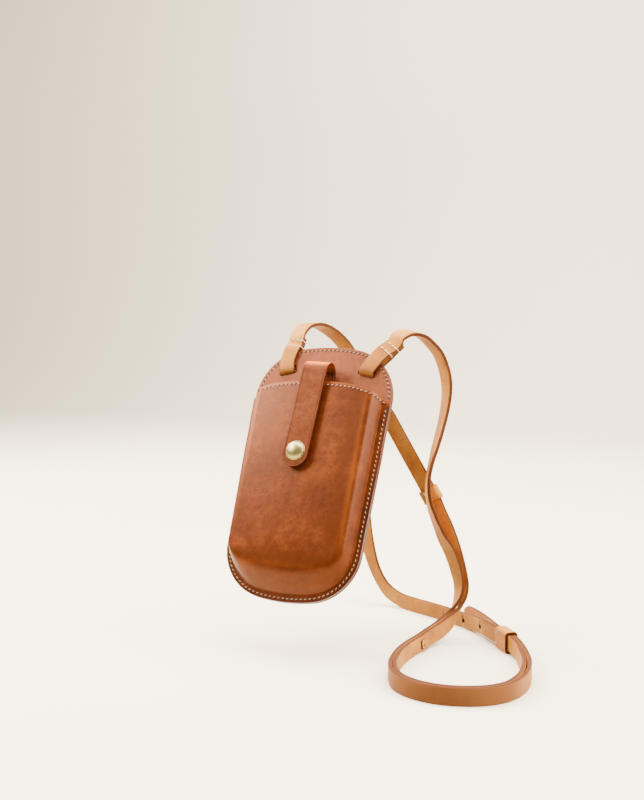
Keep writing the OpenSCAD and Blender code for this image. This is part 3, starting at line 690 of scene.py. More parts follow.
def pocket_pull_and_highlight(x, y, z):
    """Painted highlight down the left wall, lighter wax and painted highlight on the creases, lighter wax on
    the mouth.
    """
    at_mouth = 0.3 * ramped(mouth_z(x) - z, 0.9, 0.4)
    # Painted highlight down the steep left wall
    wall = 0.9 * ramped(x, -48.2, -49.4) * ramped(z, -78, -53) if y < -PANEL_T - 4 else 0.0
    if y >= FACE_Y + 4:
        return max(at_mouth, wall)
    # Lighter wax and painted highlight along the creases, stronger on the left
    sides = 0.2 * ridge(x - FACE_RIGHT + 0.5, 1.5) + 0.5 * ridge(x - FACE_LEFT, 1.4)
    bottom = 0.08 * ridge(z - FACE_LOW + 0.5, 2) * ramped(abs(x), 44, 28)
    return clamped(max(at_mouth, wall, sides * ramped(z, -62, -32) + bottom))


def pocket_painted_shade(x, y, z):
    """Painted shade in a soft band beside the right crease, above the bottom one and low on the wall."""
    if y >= FACE_Y + 2:
        return 0.7 * ramped(z, -86, -94)
    beside = ramped(abs(x - FACE_RIGHT + 7.5), 7.5, 0) * ramped(z, -75, -50)
    above = ramped(abs(z - FACE_LOW - 5), 6, 0) * ramped(abs(x), 50, 40)
    return 0.9 * max(beside, above) ** 0.6


def bottom_reach(x, z):
    """How far inside the rounded bottom a point lies, large when it is well above it."""
    r, half_w = BOTTOM_CORNER_R, HALF_W - BOTTOM_TAPER
    cz = BOTTOM_ARC_R - PANEL_DROP - math.sqrt((BOTTOM_ARC_R - r) ** 2 - (half_w - r) ** 2)
    shallow = BOTTOM_ARC_R - math.hypot(x, z - BOTTOM_ARC_R + PANEL_DROP)
    if z > cz or abs(x) < half_w - r:
        return shallow
    return min(shallow, r - math.hypot(abs(x) - half_w + r, z - cz))


# Stitches, laid along a path by Geometry Nodes: how deep a stitch's ends dip, and how far a hole's oval
# of painted shade lies off the leather
STITCH_DIP = 0.16
HOLE_LIFT = 0.04


def stitch_shape(length, width, lift, rings=6, sides=6):
    """One stitch: a short thread that dips into its holes at both ends, along X, with Z off the leather."""
    points = []
    for i in range(rings + 1):
        t = i / rings
        swell = math.sin(math.pi * t)
        r = width / 2 * (0.6 + 0.4 * swell)
        points += [((t - 0.5) * length, across, up)
                   for across, up in arc(0, lift * swell - STITCH_DIP, r, 0, 2 * math.pi, sides)[:-1]]
    return points, swept_faces(rings + 1, sides)


def hole_shape(length, width):
    """An awl hole's oval of painted shade, flat on the leather, along X."""
    oval = [(length / 2 * x, width / 2 * y, HOLE_LIFT) for x, y in arc(0, 0, 1, 0, 2 * math.pi, 12)[:-1]]
    return oval, [tuple(range(12))]


def shape_object(name, shape):
    """An object, not in the scene, that the rows of stitches copy."""
    points, faces = shape
    mesh = bpy.data.meshes.new(name)
    mesh.from_pydata([[c * MM for c in point] for point in points], [], faces)
    for polygon in mesh.polygons:
        polygon.use_smooth = True
    return bpy.data.objects.new(name, mesh)


def stitch_tree():
    """A tree that sets one shape on every point of a path, turned along it and off the leather."""
    tree = bpy.data.node_groups.new("stitch_row", "GeometryNodeTree")
    for name, kind in (("Path", "NodeSocketGeometry"), ("Shape", "NodeSocketObject"),
                       ("Material", "NodeSocketMaterial"), ("Slant", "NodeSocketFloat")):
        tree.interface.new_socket(name, in_out="INPUT", socket_type=kind)
    tree.interface.new_socket("Stitches", in_out="OUTPUT", socket_type="NodeSocketGeometry")
    given = add(tree, "NodeGroupInput", {}).outputs
    shape = add(tree, "GeometryNodeObjectInfo", {"Object": given["Shape"]}).outputs["Geometry"]
    along = add(tree, "GeometryNodeInputNamedAttribute", {"Name": "along"}, data_type="FLOAT_VECTOR")
    off = add(tree, "GeometryNodeInputNamedAttribute", {"Name": "off"}, data_type="FLOAT_VECTOR")
    upright = add(tree, "FunctionNodeAlignRotationToVector", {"Vector": off}, axis="Z")
    aligned = add(tree, "FunctionNodeAlignRotationToVector", {"Rotation": upright, "Vector": along},
                  axis="X", pivot_axis="Z")
    turn = add(tree, "ShaderNodeCombineXYZ", {"Z": given["Slant"]})
    slant = add(tree, "FunctionNodeEulerToRotation", {"Euler": turn})
    turned = add(tree, "FunctionNodeRotateRotation", {"Rotation": aligned, "Rotate By": slant},
                 rotation_space="LOCAL")
    laid = add(tree, "GeometryNodeInstanceOnPoints", {"Points": given["Path"], "Instance": shape,
                                                      "Rotation": turned})
    real = add(tree, "GeometryNodeRealizeInstances", {"Geometry": laid})
    shown = add(tree, "GeometryNodeSetMaterial", {"Geometry": real, "Material": given["Material"]})
    add(tree, "NodeGroupOutput", {"Stitches": shown})
    return tree


STITCH_TREE = stitch_tree()
STITCH = shape_object("stitch_shape", stitch_shape(2.0, 0.74, 0.3))
SUNK_STITCH = shape_object("sunk_stitch_shape", stitch_shape(1.6, 0.7, 0.24))
HOLE = shape_object("hole_shape", hole_shape(1.9, 1.1))
WIDE_HOLE = shape_object("wide_hole_shape", hole_shape(2.3, 1.25))
SMALL_HOLE = shape_object("small_hole_shape", hole_shape(0.9, 0.8))
LOOP_STITCH = shape_object("loop_stitch_shape", stitch_shape(3.3, 0.95, 0.4, 8))
STITCH_SLANT = math.radians(16)
HOLE_SLANT = math.radians(40)


def lay_row(name, spots, where, shape, material, slant=0, body="pouch"):
    """Sets a shape at each (point, along, off) of a row, given in a frame, and returns the piece."""
    turn = where.to_3x3()
    mesh = bpy.data.meshes.new(name)
    mesh.from_pydata([tuple(placed(spot[0], where)) for spot in spots], [], [])
    for key, index in (("along", 1), ("off", 2)):
        layer = mesh.attributes.new(key, "FLOAT_VECTOR", "POINT")
        layer.data.foreach_set("vector", [c for spot in spots for c in turn @ spot[index]])
    piece = linked(name, mesh)
    modifier = piece.modifiers.new("stitches", "NODES")
    modifier.node_group = STITCH_TREE
    given = {"Shape": shape, "Material": material, "Slant": slant}
    for item in STITCH_TREE.interface.items_tree:
        if item.in_out == "INPUT" and item.name in given:
            modifier[item.identifier] = given[item.name]
    apply_modifiers(piece)
    return finished(piece, material, body)


def sewn_row(name, line, off_at, node, stitch=STITCH, hole=HOLE, closed=False):
    """A row of slanted stitches with awl holes between them, along a line in the pouch's frame."""
    line = [Vector(p) for p in line]
    if closed:
        line.append(line[0])
    points = evenly(line, round(lengths_along(line)[-1] / STITCH_PITCH))
    if closed:
        points.pop()
    stitches, holes = [], []
    for a, b in zip(points, points[1:]):
        along_row = (b - a).normalized()
        off = off_at(along_row)
        stitches.append(((a + b) / 2, along_row, off))
        holes.append((a, along_row, off))
    holes.append((points[-1],) + holes[-1][1:])
    thread = lay_row(name, stitches, ATTITUDE, stitch, THREAD, STITCH_SLANT)
    lay_row(name + "_holes", holes, ATTITUDE, hole, HOLE_SHADE, HOLE_SLANT)
    if node:
        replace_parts(thread, node)


def make_edge_stitching():
    half = panel_half(STITCH_INSET)
    low = [(x, z) for x, z in half if z <= mouth_z(x) - 0.6]
    high = [(x, z) for x, z in reversed(half) if z > mouth_z(x) + 1]
    sewn_row("edge_stitches_flange", full_row(low, low, FLANGE_Y), lambda d: FRONT, "edge_thread")
    sewn_row("edge_stitches_panel", full_row(high, high, -PANEL_T)[::-1], lambda d: FRONT, None,
             SUNK_STITCH, WIDE_HOLE)
    # The same row comes out on the lining behind
    back = [(x, 0, z) for x, z in whole(half)]
    sewn_row("edge_stitches_back", back, lambda d: -FRONT, None, closed=True)


def pocket_surface_y(x):
    """Depth of the pocket's outer surface at the mouth, by how far x is from the middle."""
    flange, run = (FLANGE_W, SIDE_RUN) if x > 0 else (LEFT_FLANGE_W, LEFT_RUN)
    inset = HALF_W - abs(x)
    if inset <= flange:
        return FLANGE_Y
    for i in range(201):
        if flange + run * on_table(SIDE_SHARES, i / 200) >= inset:
            return wall_y(i / 200)
    return face_y(FACE_REACH * min(1, (inset - flange - run) / (HALF_W - flange - run)))


def make_mouth_stitching():
    reach = HALF_W - STITCH_INSET
    across = [reach * (i / 80 - 1) for i in range(161)]
    line = [(x, pocket_surface_y(x), mouth_z(x) - STITCH_INSET) for x in across]

    def off_wall(along_row):
        off = along_row.cross(UP).normalized()
        return off if off.y < 0 else -off

    sewn_row("mouth_stitches", line, off_wall, "mouth_thread")


# The closure tab
TAB_BACK_Y = -PANEL_T - TAB_T / 2
TAB_FRONT_Y = FACE_Y - SNAP_GAP - TAB_T / 2
BEND_R = (TAB_BACK_Y - TAB_FRONT_Y) / 2
BEND_Y = (TAB_BACK_Y + TAB_FRONT_Y) / 2
TAB_R = TAB_W / 2
TAB_EDGE_R = 0.5
# Where the tab's faces carry points for the line pressed along its edges
CREASE_INSETS = (0.95, 1.35, 1.75, 2.3, 3, 4, 7)
HANG = BEND_Z - SNAP_Z


def on_bend(degrees):
    """The tab's middle (y, z) at an angle round its bend."""
    a = math.radians(degrees)
    return BEND_Y + BEND_R * math.cos(a), BEND_R * math.sin(a)


def bend_line(a0, a1, steps):
    """Stations round the bend, as (y, z, heading, half width)."""
    angles = [a0 + (a1 - a0) * i / steps for i in range(steps + 1)]
    return [(*on_bend(a), math.radians(a), TAB_R) for a in angles]


def tab_strip(name, line, *nodes):
    """A length of the tab swept along stations of (y, z, heading, half width) in the tab's frame."""
    points = []
    for y, z, heading, half_w in line:
        normal = Vector((0, math.cos(heading), math.sin(heading)))
        insets = [half_w * inset / TAB_R for inset in CREASE_INSETS]
        for across, off in rounded_section(half_w, TAB_T / 2, min(TAB_EDGE_R, half_w * 0.05), 4, insets):
            points.append(Vector((across, y, z)) + normal * off)
    piece = new_piece(name, points, swept_faces(len(line), len(points) // len(line)), TAB_FRAME, TAB_LEATHER,
                      None)
    mark(piece, "edge", tab_edge, TAB_FRAME)
    # A painted highlight over the top of the bend
    mark(piece, "pull_and_highlight", lambda x, y, z: 0.95 * ramped(z, BEND_R * 0.45, BEND_R * 0.45 + 3.4), TAB_FRAME)
    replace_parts(piece, *nodes)
    return piece


def tab_edge(x, y, z):
    """The burnished edge of the tab, and the line pressed beside it."""
    tip_z = TAB_R - HANG - TIP_L
    reach = math.hypot(x, z - tip_z) if z < tip_z and y < BEND_Y else abs(x)
    pressed = 0.7 * ramped(abs(reach - TAB_R + 1.4), 0.6, 0.1)
    return max(pressed, ramped(reach, TAB_R - 0.35, TAB_R - 0.05))


def make_tab():
    """The tab in two lengths that meet on the bend."""
    root = [(TAB_BACK_Y, ROOT_L * (i / 12 - 1), 0.0, TAB_R) for i in range(12)] + bend_line(0, 110, 40)
    lower = tab_strip("tab_root_and_bend", root, "tab_root", "tab_bend")
    flap = bend_line(110, 180, 26) + [(TAB_FRONT_Y, -HANG * i / 40, math.pi, TAB_R) for i in range(1, 41)]
    for i in range(25):
        a = math.radians(89.2) * i / 24
        flap.append((TAB_FRONT_Y, TAB_R * (1 - math.sin(a)) - HANG - TIP_L, math.pi, TAB_R * math.cos(a)))
    upper = tab_strip("tab_flap_hanging", flap, "tab_flap")
    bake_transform(lower)
    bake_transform(upper)
    spots = [(((k - 1.5) * STITCH_PITCH * 1.1, -PANEL_T - TAB_T, -ROOT_L * share), RIGHT, FRONT)
             for share in (0.55, 0.9) for k in range(4)]
    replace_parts(lay_row("tab_root_stitches", spots, TAB_FRAME, STITCH, THREAD), "tab_root_thread")


# The snap
def snap_piece(name, profile, depth, body, node):
    """Spins a profile of (radius, height in front of a depth) about the snap's axis."""
    piece = new_piece(name, spun([(r, depth - h) for r, h in profile], 72), row_faces(len(profile), 72),
                      SNAP_FRAME, BRASS, body)
    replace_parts(piece, node)


def make_snap():
    cap_r = CAP_D / 2
    rim = [(0, -0.2), (cap_r - 0.6, -0.2), (cap_r - 0.15, 0), (cap_r, 0.3), (cap_r - 0.15, 0.58),
           (cap_r - 0.42, CAP_RIM_T), (cap_r - CAP_RIM_T + 0.1, CAP_RIM_T - 0.08)]
    dome = [(r, CAP_RIM_T - 0.05 + h * CAP_DOME_H / (cap_r - CAP_RIM_T))
            for r, h in arc(0, 0, cap_r - CAP_RIM_T, 0, math.pi / 2, 20)]
    snap_piece("snap_cap_domed", rim + dome, TAB_FRONT_Y - TAB_T / 2, "tab_flap", "snap_cap")
    # The socket: a cup with a rolled lip round its bore, seen when the tab is open
    socket = [(0, -0.4), (2.5, -0.4), (2.65, -0.6), (2.6, -1.5), (2.8, -1.85), (3.3, -1.9), (4.9, -1.7),
              (5.5, -1.4), (5.72, -1.0), (5.75, -0.3), (5.6, 0), (0, 0)]
    snap_piece("snap_socket_cup", socket, FACE_Y - SNAP_GAP, "tab_flap", "snap_socket")
    stud = [(0, -2.7), (1.5, -2.7), (1.5, 0), (4.8, 0), (5.0, 0.2), (4.8, 0.5), (2.6, 0.7), (1.9, 0.95),
            (1.76, 1.3), (1.95, 1.65), (2.2, 1.85), (2.1, 2.1), (1.6, 2.2), (0, 2.2)]
    snap_piece("snap_stud_post", stud, FACE_Y, "pouch", "snap_stud")
    washer = [(1.5, -0.7), (4.2, -0.7), (4.45, -0.5), (4.5, -0.1), (4.4, 0), (1.5, 0)]
    snap_piece("snap_washer_disc", washer, FACE_Y + POCKET_T, "pouch", "snap_washer")


# The shoulder strap: how each end folds through its slot
FOLD_GAP = 0.3
FOLD_R = (PANEL_T + STRAP_T) / 2 + FOLD_GAP
FOLD_MID_Y = -PANEL_T / 2
LAYER_GAP = 0.4
LAYER_OFF = (STRAP_T + LAYER_GAP) / 2
FOLD_C = FOLD_R + STRAP_T / 2 + FOLD_GAP - SLOT_H / 2
FOLD_EDGE = 17.2
FOLD_JOIN = 21.5
FOLD_END = (26.5, 23.5)
CUT_RISE = 3.5
ROW_HEIGHTS = ((19.8, 25), (17.3, 21.8))
ROW_TILT = (math.radians(-8), math.radians(36))
LOOP_LIE = (((0, 0), (5.5, 0.9), (14, 0), (20, -1.9), (30, -3)),
            ((0, 0), (5, 2.6), (11.5, 6.9), (17.3, 12), (21.7, 16.4), (27, 21.6)))
# Half the width that the rows of stitches cross, and how far the last hole is from the end of LONG_BACK
ROW_HALF_W = (STRAP_W / 2, STRAP_W / 2.12)
LAST_HOLE = 4

# Routes as (point, facing), in millimetres of the row frame
LONG_BACK = (
    ((-30.4, 46, 104.2), (0, 0.8, -0.6)), ((-30, 51.3, 108), (0, 0.6, -0.8)),
    ((-29.4, 57.5, 110.5), (0, 0.3, -0.95)), ((-28.3, 65, 111.5), (0, 0, -1)),
    ((-26, 74, 110.8), (0.05, -0.3, -0.95)), ((-23, 82.5, 107.8), (0.1, -0.5, -0.85)),
    ((-18.5, 90, 102.5), (0.1, -0.65, -0.75)), ((-13, 97.5, 93.5), (0.1, -0.75, -0.6)),
    ((-8, 104.5, 79.5), (0.1, -0.85, -0.45)), ((-5, 112, 55), (0, -0.95, -0.3)),
    ((-6, 119, 25), (0, -1, -0.2)), ((-10, 124, -10), (0, -1, -0.1)), ((-9, 128, -45), (0, -1, 0)),
    ((-6, 131, -75), (-0.2, -1, 0)), ((1, 132, -98), (-0.5, -0.85, 0.1)),
    ((12, 130, -113), (-0.55, -0.8, 0.1)), ((26, 125, -119), (-0.45, -0.88, 0)),
    ((40, 118, -120), (-0.42, -0.9, 0)), ((54, 111, -120), (-0.43, -0.9, 0)),
    ((66, 105, -120), (-0.45, -0.9, 0)), ((78, 98, -120), (-0.5, -0.85, 0)),
    ((92, 89, -120), (-0.6, -0.8, 0)), ((104, 79, -119), (-0.68, -0.73, 0)),
    ((115, 68, -118), (-0.72, -0.7, 0)),
)
SHORT_SIDE = (
    ((53, 43.3, 101.8), (-0.05, 0.7, -0.7)), ((55, 46.3, 103.9), (-0.15, 0.45, -0.88)),
    ((57, 50, 105.2), (-0.22, 0.2, -0.96)), ((59.4, 54, 105.5), (-0.3, -0.08, -0.95)),
    ((62.4, 58.5, 104.7), (-0.4, -0.35, -0.85)), ((66.3, 63.5, 101.9), (-0.45, -0.6, -0.65)),
    ((70.2, 68, 97.1), (-0.5, -0.7, -0.45)), ((75, 73, 89.5), (-0.53, -0.78, -0.25)),
    ((78.2, 76, 79.9), (-0.55, -0.82, -0.1)), ((80.3, 77, 70.3), (-0.56, -0.83, 0)),
    ((81, 77, 59.8), (-0.62, -0.78, 0)), ((80.6, 75, 49.6), (-0.66, -0.75, 0)),
    ((79.8, 71, 38.7), (-0.69, -0.73, 0)), ((78.7, 65, 27.2), (-0.7, -0.71, 0)),
    ((77.5, 58, 15), (-0.75, -0.66, 0)), ((76.6, 51.5, 4), (-0.84, -0.54, 0)),
    ((76.4, 47, -7.4), (-0.88, -0.47, 0)), ((77.5, 46.5, -19), (-0.86, -0.5, 0)),
    ((79.3, 49, -29), (-0.74, -0.67, 0)), ((81.5, 53.3, -38.5), (-0.66, -0.75, 0)),
    ((84, 57.5, -48), (-0.6, -0.8, 0)), ((89.8, 61.7, -61.5), (-0.45, -0.89, 0)),
)
PAIR = (
    ((129, 55, -118), (-0.77, -0.64, 0)), ((139, 43, -118), (-0.77, -0.64, 0)),
    ((148, 32, -118), (-0.78, -0.63, 0)), ((155, 21, -119), (-0.84, -0.54, 0)),
    ((161, 8, -120), (-0.9, -0.42, 0)), ((167, -8, -120), (-0.95, -0.3, 0)),
    ((171, -26, -120), (-1, -0.1, 0)), ((172, -44, -120), (-1, 0.1, 0)),
    ((168, -62.5, -120), (-0.88, 0.47, 0)), ((158, -75, -120), (-0.65, 0.76, 0)),
    ((145, -82, -120), (-0.4, 0.92, 0)), ((132, -85, -120), (-0.1, 1, 0)),
    ((119, -84, -120), (0.23, 0.97, 0)), ((107, -79.5, -120), (0.5, 0.86, 0)),
    ((97, -71.5, -120), (0.73, 0.68, 0)), ((90, -60.5, -120), (0.9, 0.45, 0)),
    ((85, -48, -120), (0.96, 0.28, 0)), ((82, -34, -120), (0.99, 0.14, 0)), ((80, -18, -120), (1, 0.03, 0)),
    ((80, -1, -120), (1, -0.1, 0)), ((82, 14, -119.5), (0.98, -0.16, 0)),
    ((84.5, 28, -118), (0.99, -0.1, 0.05)), ((88.5, 44, -115.5), (0.98, 0.05, 0.1)),
    ((93, 56, -109), (0.93, 0.3, 0.1)), ((96.5, 64, -99), (0.8, 0.58, 0.05)),
    ((97, 67.5, -88.5), (0.64, 0.77, 0)), ((95, 67, -77), (0.48, 0.88, 0)),
)
LONG_TAIL = (
    ((92.5, 66, -62), (0.35, 0.94, 0)), ((88, 63.5, -48), (0.15, 0.99, 0)), ((84.5, 61, -38), (0.1, 1, 0)),
    ((81.5, 59.3, -31), (0.1, 1, 0)), ((78, 58, -22), (0.1, 1, 0)), ((70, 57, -8), (0.1, 1, 0)),
    ((62, 56, 6), (0.1, 1, 0)), ((54, 55, 20), (0.1, 1, 0)), ((46, 54, 34), (0.1, 1, 0)),
    ((38, 53, 48), (0.1, 1, 0)),
)
SHORT_TAIL = (
    ((86, 114, -120), (0.68, 0.73, 0)), ((94, 107, -120), (0.7, 0.7, 0)), ((104, 96, -120), (0.74, 0.67, 0)),
    ((114, 83, -120), (0.8, 0.6, 0)), ((121, 71, -119), (0.82, 0.57, 0)),
)
RISE_INDEX = 21
UPPER_INDEX = 4
SPLICE_INDEX = 20


def looked_up(value, table):
    """A value from a table of pairs, straight between them."""
    if value <= table[0][0]:
        return table[0][1]
    for (a, low), (b, high) in zip(table, table[1:]):
        if value <= b:
            return low + (high - low) * (value - a) / (b - a)
    return table[-1][1]


def vectors(route):
    return [(Vector(p), Vector(f)) for p, f in route]


def fold_leg(u):
    """How far a leg of the fold stands from its middle, at a height above the slot."""
    return looked_up(u, ((FOLD_EDGE, FOLD_R), (FOLD_JOIN, LAYER_OFF)))


def slot_fold(k):
    """The strap's end, cut end first: down behind the panel, through the slot and up in front of it."""
    side, end = 2 * k - 1, FOLD_END[k]
    legs = [end, FOLD_EDGE + (end - FOLD_EDGE) / 2, FOLD_EDGE, FOLD_EDGE * 2 / 3, FOLD_EDGE / 3]
    steps = [(FOLD_MID_Y + fold_leg(u), u, -1, 0) for u in [end + CUT_RISE] + legs]
    for degrees in range(0, 181, 30):
        a = math.radians(degrees)
        out_y, out_u = -math.cos(a), math.sin(a)
        steps.append((FOLD_MID_Y - FOLD_R * out_y, FOLD_C - FOLD_R * out_u, out_y, out_u))
    steps += [(FOLD_MID_Y - fold_leg(u), u, 1, 0) for u in reversed(legs)]
    route = []
    for y, u, out_y, out_u in steps:
        lie = SLOT_TILT * abs(out_u)
        point = Vector((side * (SLOT_X + looked_up(u, LOOP_LIE[k])), y, SLOT_Z + u))
        facing = Vector((side * math.sin(lie) * out_u, out_y, math.cos(lie) * out_u))
        route.append((ATTITUDE @ point, ATTITUDE.to_3x3() @ facing))
    return route


def direction_at(route, i):
    """The way a route runs at one of its points."""
    return (route[min(i + 1, len(route) - 1)][0] - route[max(i - 1, 0)][0]).normalized()


def square_to(facing, direction):
    """A facing turned square to a direction."""
    return (facing - direction * facing.dot(direction)).normalized()


def pair_layer(side):
    """One of the two straps that run together, on its side of their middle."""
    route, out = vectors(PAIR), []
    for i, (p, f) in enumerate(route):
        spread = LAYER_OFF + (LAYER_GAP if 3 < i < 8 or i > RISE_INDEX else 0)
        out.append((p + square_to(f, direction_at(route, i)) * side * spread, f * side))
    return out


def smooth_route(route):
    """A smooth curve through the route's points, with the strap's facing turned along it."""
    out = []
    last = len(route) - 1
    for i in range(last):
        near = [route[max(i - 1, 0)], route[i], route[i + 1], route[min(i + 2, last)]]
        p = [entry[0] for entry in near]
        # Knots by the root of the spacing keep the curve from swinging wide where points lie close together
        t01, t12, t23 = (max((b - a).length, 1e-6) ** 0.5 for a, b in zip(p, p[1:]))
        steps = max(2, min(14, round((p[2] - p[1]).length / 1.6)))
        for k in range(steps):
            u = k / steps
            h00, h10 = 2 * u ** 3 - 3 * u ** 2 + 1, u ** 3 - 2 * u ** 2 + u
            h01, h11 = -2 * u ** 3 + 3 * u ** 2, u ** 3 - u ** 2
            pair = []
            for c in (0, 1):
                v0, v1, v2, v3 = (entry[c] for entry in near)
                m1 = m2 = v2 - v1
                if i > 0:
                    m1 = m1 + t12 * ((v1 - v0) / t01 - (v2 - v0) / (t01 + t12))
                if i < last - 1:
                    m2 = m2 + t12 * ((v3 - v2) / t23 - (v3 - v1) / (t12 + t23))
                pair.append(v1 * h00 + m1 * h10 + v2 * h01 + m2 * h11)
            out.append((pair[0], pair[1].normalized()))
    return out + [(route[-1][0], route[-1][1].normalized())]


def ribbon(name, node, route, end_shapes):
    """A strap swept along a smooth route; an end shape is how far its corners are rounded."""
    line = smooth_route(route)
    run = lengths_along([p for p, _ in line])
    points, edge = [], []
    for i, (p, f) in enumerate(line):
        d = direction_at(line, i)
        up = square_to(f, d)
        side = up.cross(d)
        half_w = STRAP_W / 2
        for reach, from_end in zip(end_shapes, (run[i], run[-1] - run[i])):
            if from_end < reach:
                half_w *= max(0.45, math.sqrt(1 - (1 - from_end / reach) ** 2))
        for across, off in rounded_section(half_w, STRAP_T / 2, 0.7):
            points.append(p + side * across + up * off)
            edge.append(ramped(abs(across), half_w - 0.5, half_w - 0.15))
    faces = [tuple(reversed(face)) for face in swept_faces(len(line), len(points) // len(line))]
    piece = new_piece(name, points, faces, Matrix(), STRAP_LEATHER, "pouch",
                      turned_out=False)
    layer = piece.data.attributes.new("edge", "FLOAT", "POINT")
    layer.data.foreach_set("value", edge)
    # Painted shade on the loop's front and low on the folds
    mark(piece, "painted_strap_shade", painted_strap_shade)
    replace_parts(piece, node)
    return piece, [p * MM for p, _ in line], run[-1] * MM


def painted_strap_shade(x, y, z):
    """Painted shade on the front of the loop on the table, and low on the folds by their slots."""
    in_slot = 0.5 * ramped(z, 97, 85) if -9 < y < 6 and z > 70 else 0.0
    _, row_y, row_z = ATTITUDE @ Vector((x, y, z))
    return max(in_slot, 0.85 * ramped(row_y, -20, -70) * ramped(row_z, -80, -100))


def strap_frame(point, direction, facing):
    """Frame on the strap: Z along it, Y along its facing."""
    z = Vector(direction).normalized()
    y = square_to(Vector(facing), z)
    rotation = Matrix((y.cross(z), y, z)).transposed().to_4x4()
    return Matrix.Translation(Vector(point)) @ rotation


def make_straps():
    long_route = slot_fold(0) + vectors(LONG_BACK) + pair_layer(1) + vectors(LONG_TAIL)
    short_route = vectors(SHORT_TAIL) + pair_layer(-1) + vectors(SHORT_SIDE)[::-1] + slot_fold(1)[::-1]
    return (ribbon("strap_long_leather", "strap_long", long_route, (1.5, 6)),
            ribbon("strap_short_leather", "strap_short", short_route, (7, 1.5)))


def punch_holes(strap):
    """Cuts the adjusting holes in a straight line back from the end of LONG_BACK, and returns their walls."""
    at, facing = LONG_BACK[-1]
    last = strap_frame(at, Vector(at) - Vector(LONG_BACK[-3][0]), facing)
    # Each punched hole is lined with a sleeve of painted shade
    wall_r = HOLE_D / 2 - 0.02
    wall = spun(((wall_r, 1.38), (wall_r - 0.12, 1.3), (wall_r - 0.12, -1.3), (wall_r, -1.38)), 32)
    walls = []
    for i in range(HOLE_COUNT):
        where = last @ Matrix.Translation((0, 0, -LAST_HOLE - HOLE_PITCH * i))
        bpy.ops.mesh.primitive_cylinder_add(vertices=32, radius=HOLE_D / 2 * MM, depth=4 * STRAP_T * MM)
        cutter = bpy.context.active_object
        cutter.matrix_world = where @ STOOD_UP
        cutter.matrix_world.translation *= MM
        bpy.context.view_layer.update()
        cut = strap.modifiers.new("hole", "BOOLEAN")
        cut.object = cutter
        cut.solver = "EXACT"
        apply_modifiers(strap)
        bpy.data.objects.remove(cutter)
        walls.append(new_piece("hole_wall_%d" % (i + 1), wall, row_faces(4, 32, closed=True), where,
                               HOLE_SHADE, "pouch"))
    finished(strap, STRAP_LEATHER, None)
    return walls


def hand_sewn(names, stitches, holes, where, body, node):
    """Pale stitches set one by one, with their small holes."""
    thread = lay_row(names[0], stitches, where, LOOP_STITCH, LOOP_THREAD, body=body)
    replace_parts(thread, node)
    return [thread, lay_row(names[1], holes, where, SMALL_HOLE, HOLE_SHADE, body=body)]


def sew_loop(k, names, node):
    """Two rows across a fold: three small holes in a row, and thread that runs over the right edge."""
    side = 2 * k - 1
    across = Vector((math.cos(ROW_TILT[k]), 0, -side * math.sin(ROW_TILT[k])))
    half_w = ROW_HALF_W[k]
    stitches, holes = [], []
    for u in ROW_HEIGHTS[k]:
        middle = Vector((side * (SLOT_X + looked_up(u, LOOP_LIE[k])),
                         FOLD_MID_Y - fold_leg(u) - STRAP_T / 2 - 0.02, SLOT_Z + u))
        holes += [(middle + across * at * half_w, across, FRONT) for at in (-0.78, -0.05, 0.62)]
        stitches += [(middle + across * at * half_w, across, FRONT) for at in (-0.42, 0.3)]
        # Over the edge and down beside it, and on behind
        stitches.append((middle + across * (half_w - 0.75), across, FRONT))
        beside = middle + across * (half_w + 0.1)
        stitches += [(beside - FRONT * depth, -FRONT, across) for depth in (1.9, 4.6)]
    return hand_sewn(names, stitches, holes, ATTITUDE, "pouch", node)


# The keepers
KEEPER_INNER_W = STRAP_W + 2 * KEEPER_PLAY
KEEPER_INNER_R = 1.2
KEEPER_OUTER_R = KEEPER_T + 1.3
# Rounding of a keeper's outer ends, as (how much it shrinks, how far from the end)
KEEPER_ROUNDING = ((0.45, 0), (0.12, 0.15), (0, 0.5))


def keeper(name, where, inner_t, length, body, node):
    """A closed leather band round the strap, its corners and ends rounded."""
    half_w, half_t, half_l = KEEPER_INNER_W / 2, inner_t / 2, length / 2
    outside = [(shrink, from_end - half_l) for shrink, from_end in KEEPER_ROUNDING]
    outside += [(shrink, -z) for shrink, z in reversed(outside)]
    points = []
    for shrink, z in outside:
        grown = KEEPER_T - shrink
        points += [(x, y, z) for x, y in rounded_section(half_w + grown, half_t + grown,
                                                         KEEPER_OUTER_R - shrink, 8)]
    for z in (half_l, -half_l):
        points += [(x, y, z) for x, y in rounded_section(half_w, half_t, KEEPER_INNER_R, 8)]
    rings = len(outside) + 2
    faces = row_faces(rings, len(points) // rings, closed=True)
    piece = new_piece(name, points, faces, where, STRAP_LEATHER, body)
    mark(piece, "edge", lambda x, y, z: ramped(abs(z), half_l - 0.35, half_l - 0.15), where)
    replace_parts(piece, node)
    return piece


def keeper_stitches(name, where, spots, surface_y, along, body, node):
    """Stitches that close a keeper, with a hole at each end, on the face at surface_y."""
    off = Vector((0, math.copysign(1, surface_y), 0))
    middles = [Vector((x, surface_y, z)) for x, z in spots]
    holes = [(at + along * end, along, off) for at in middles for end in (-1.8, 1.8)]
    return hand_sewn((name, name + "_holes"), [(at, along, off) for at in middles], holes, where, body, node)


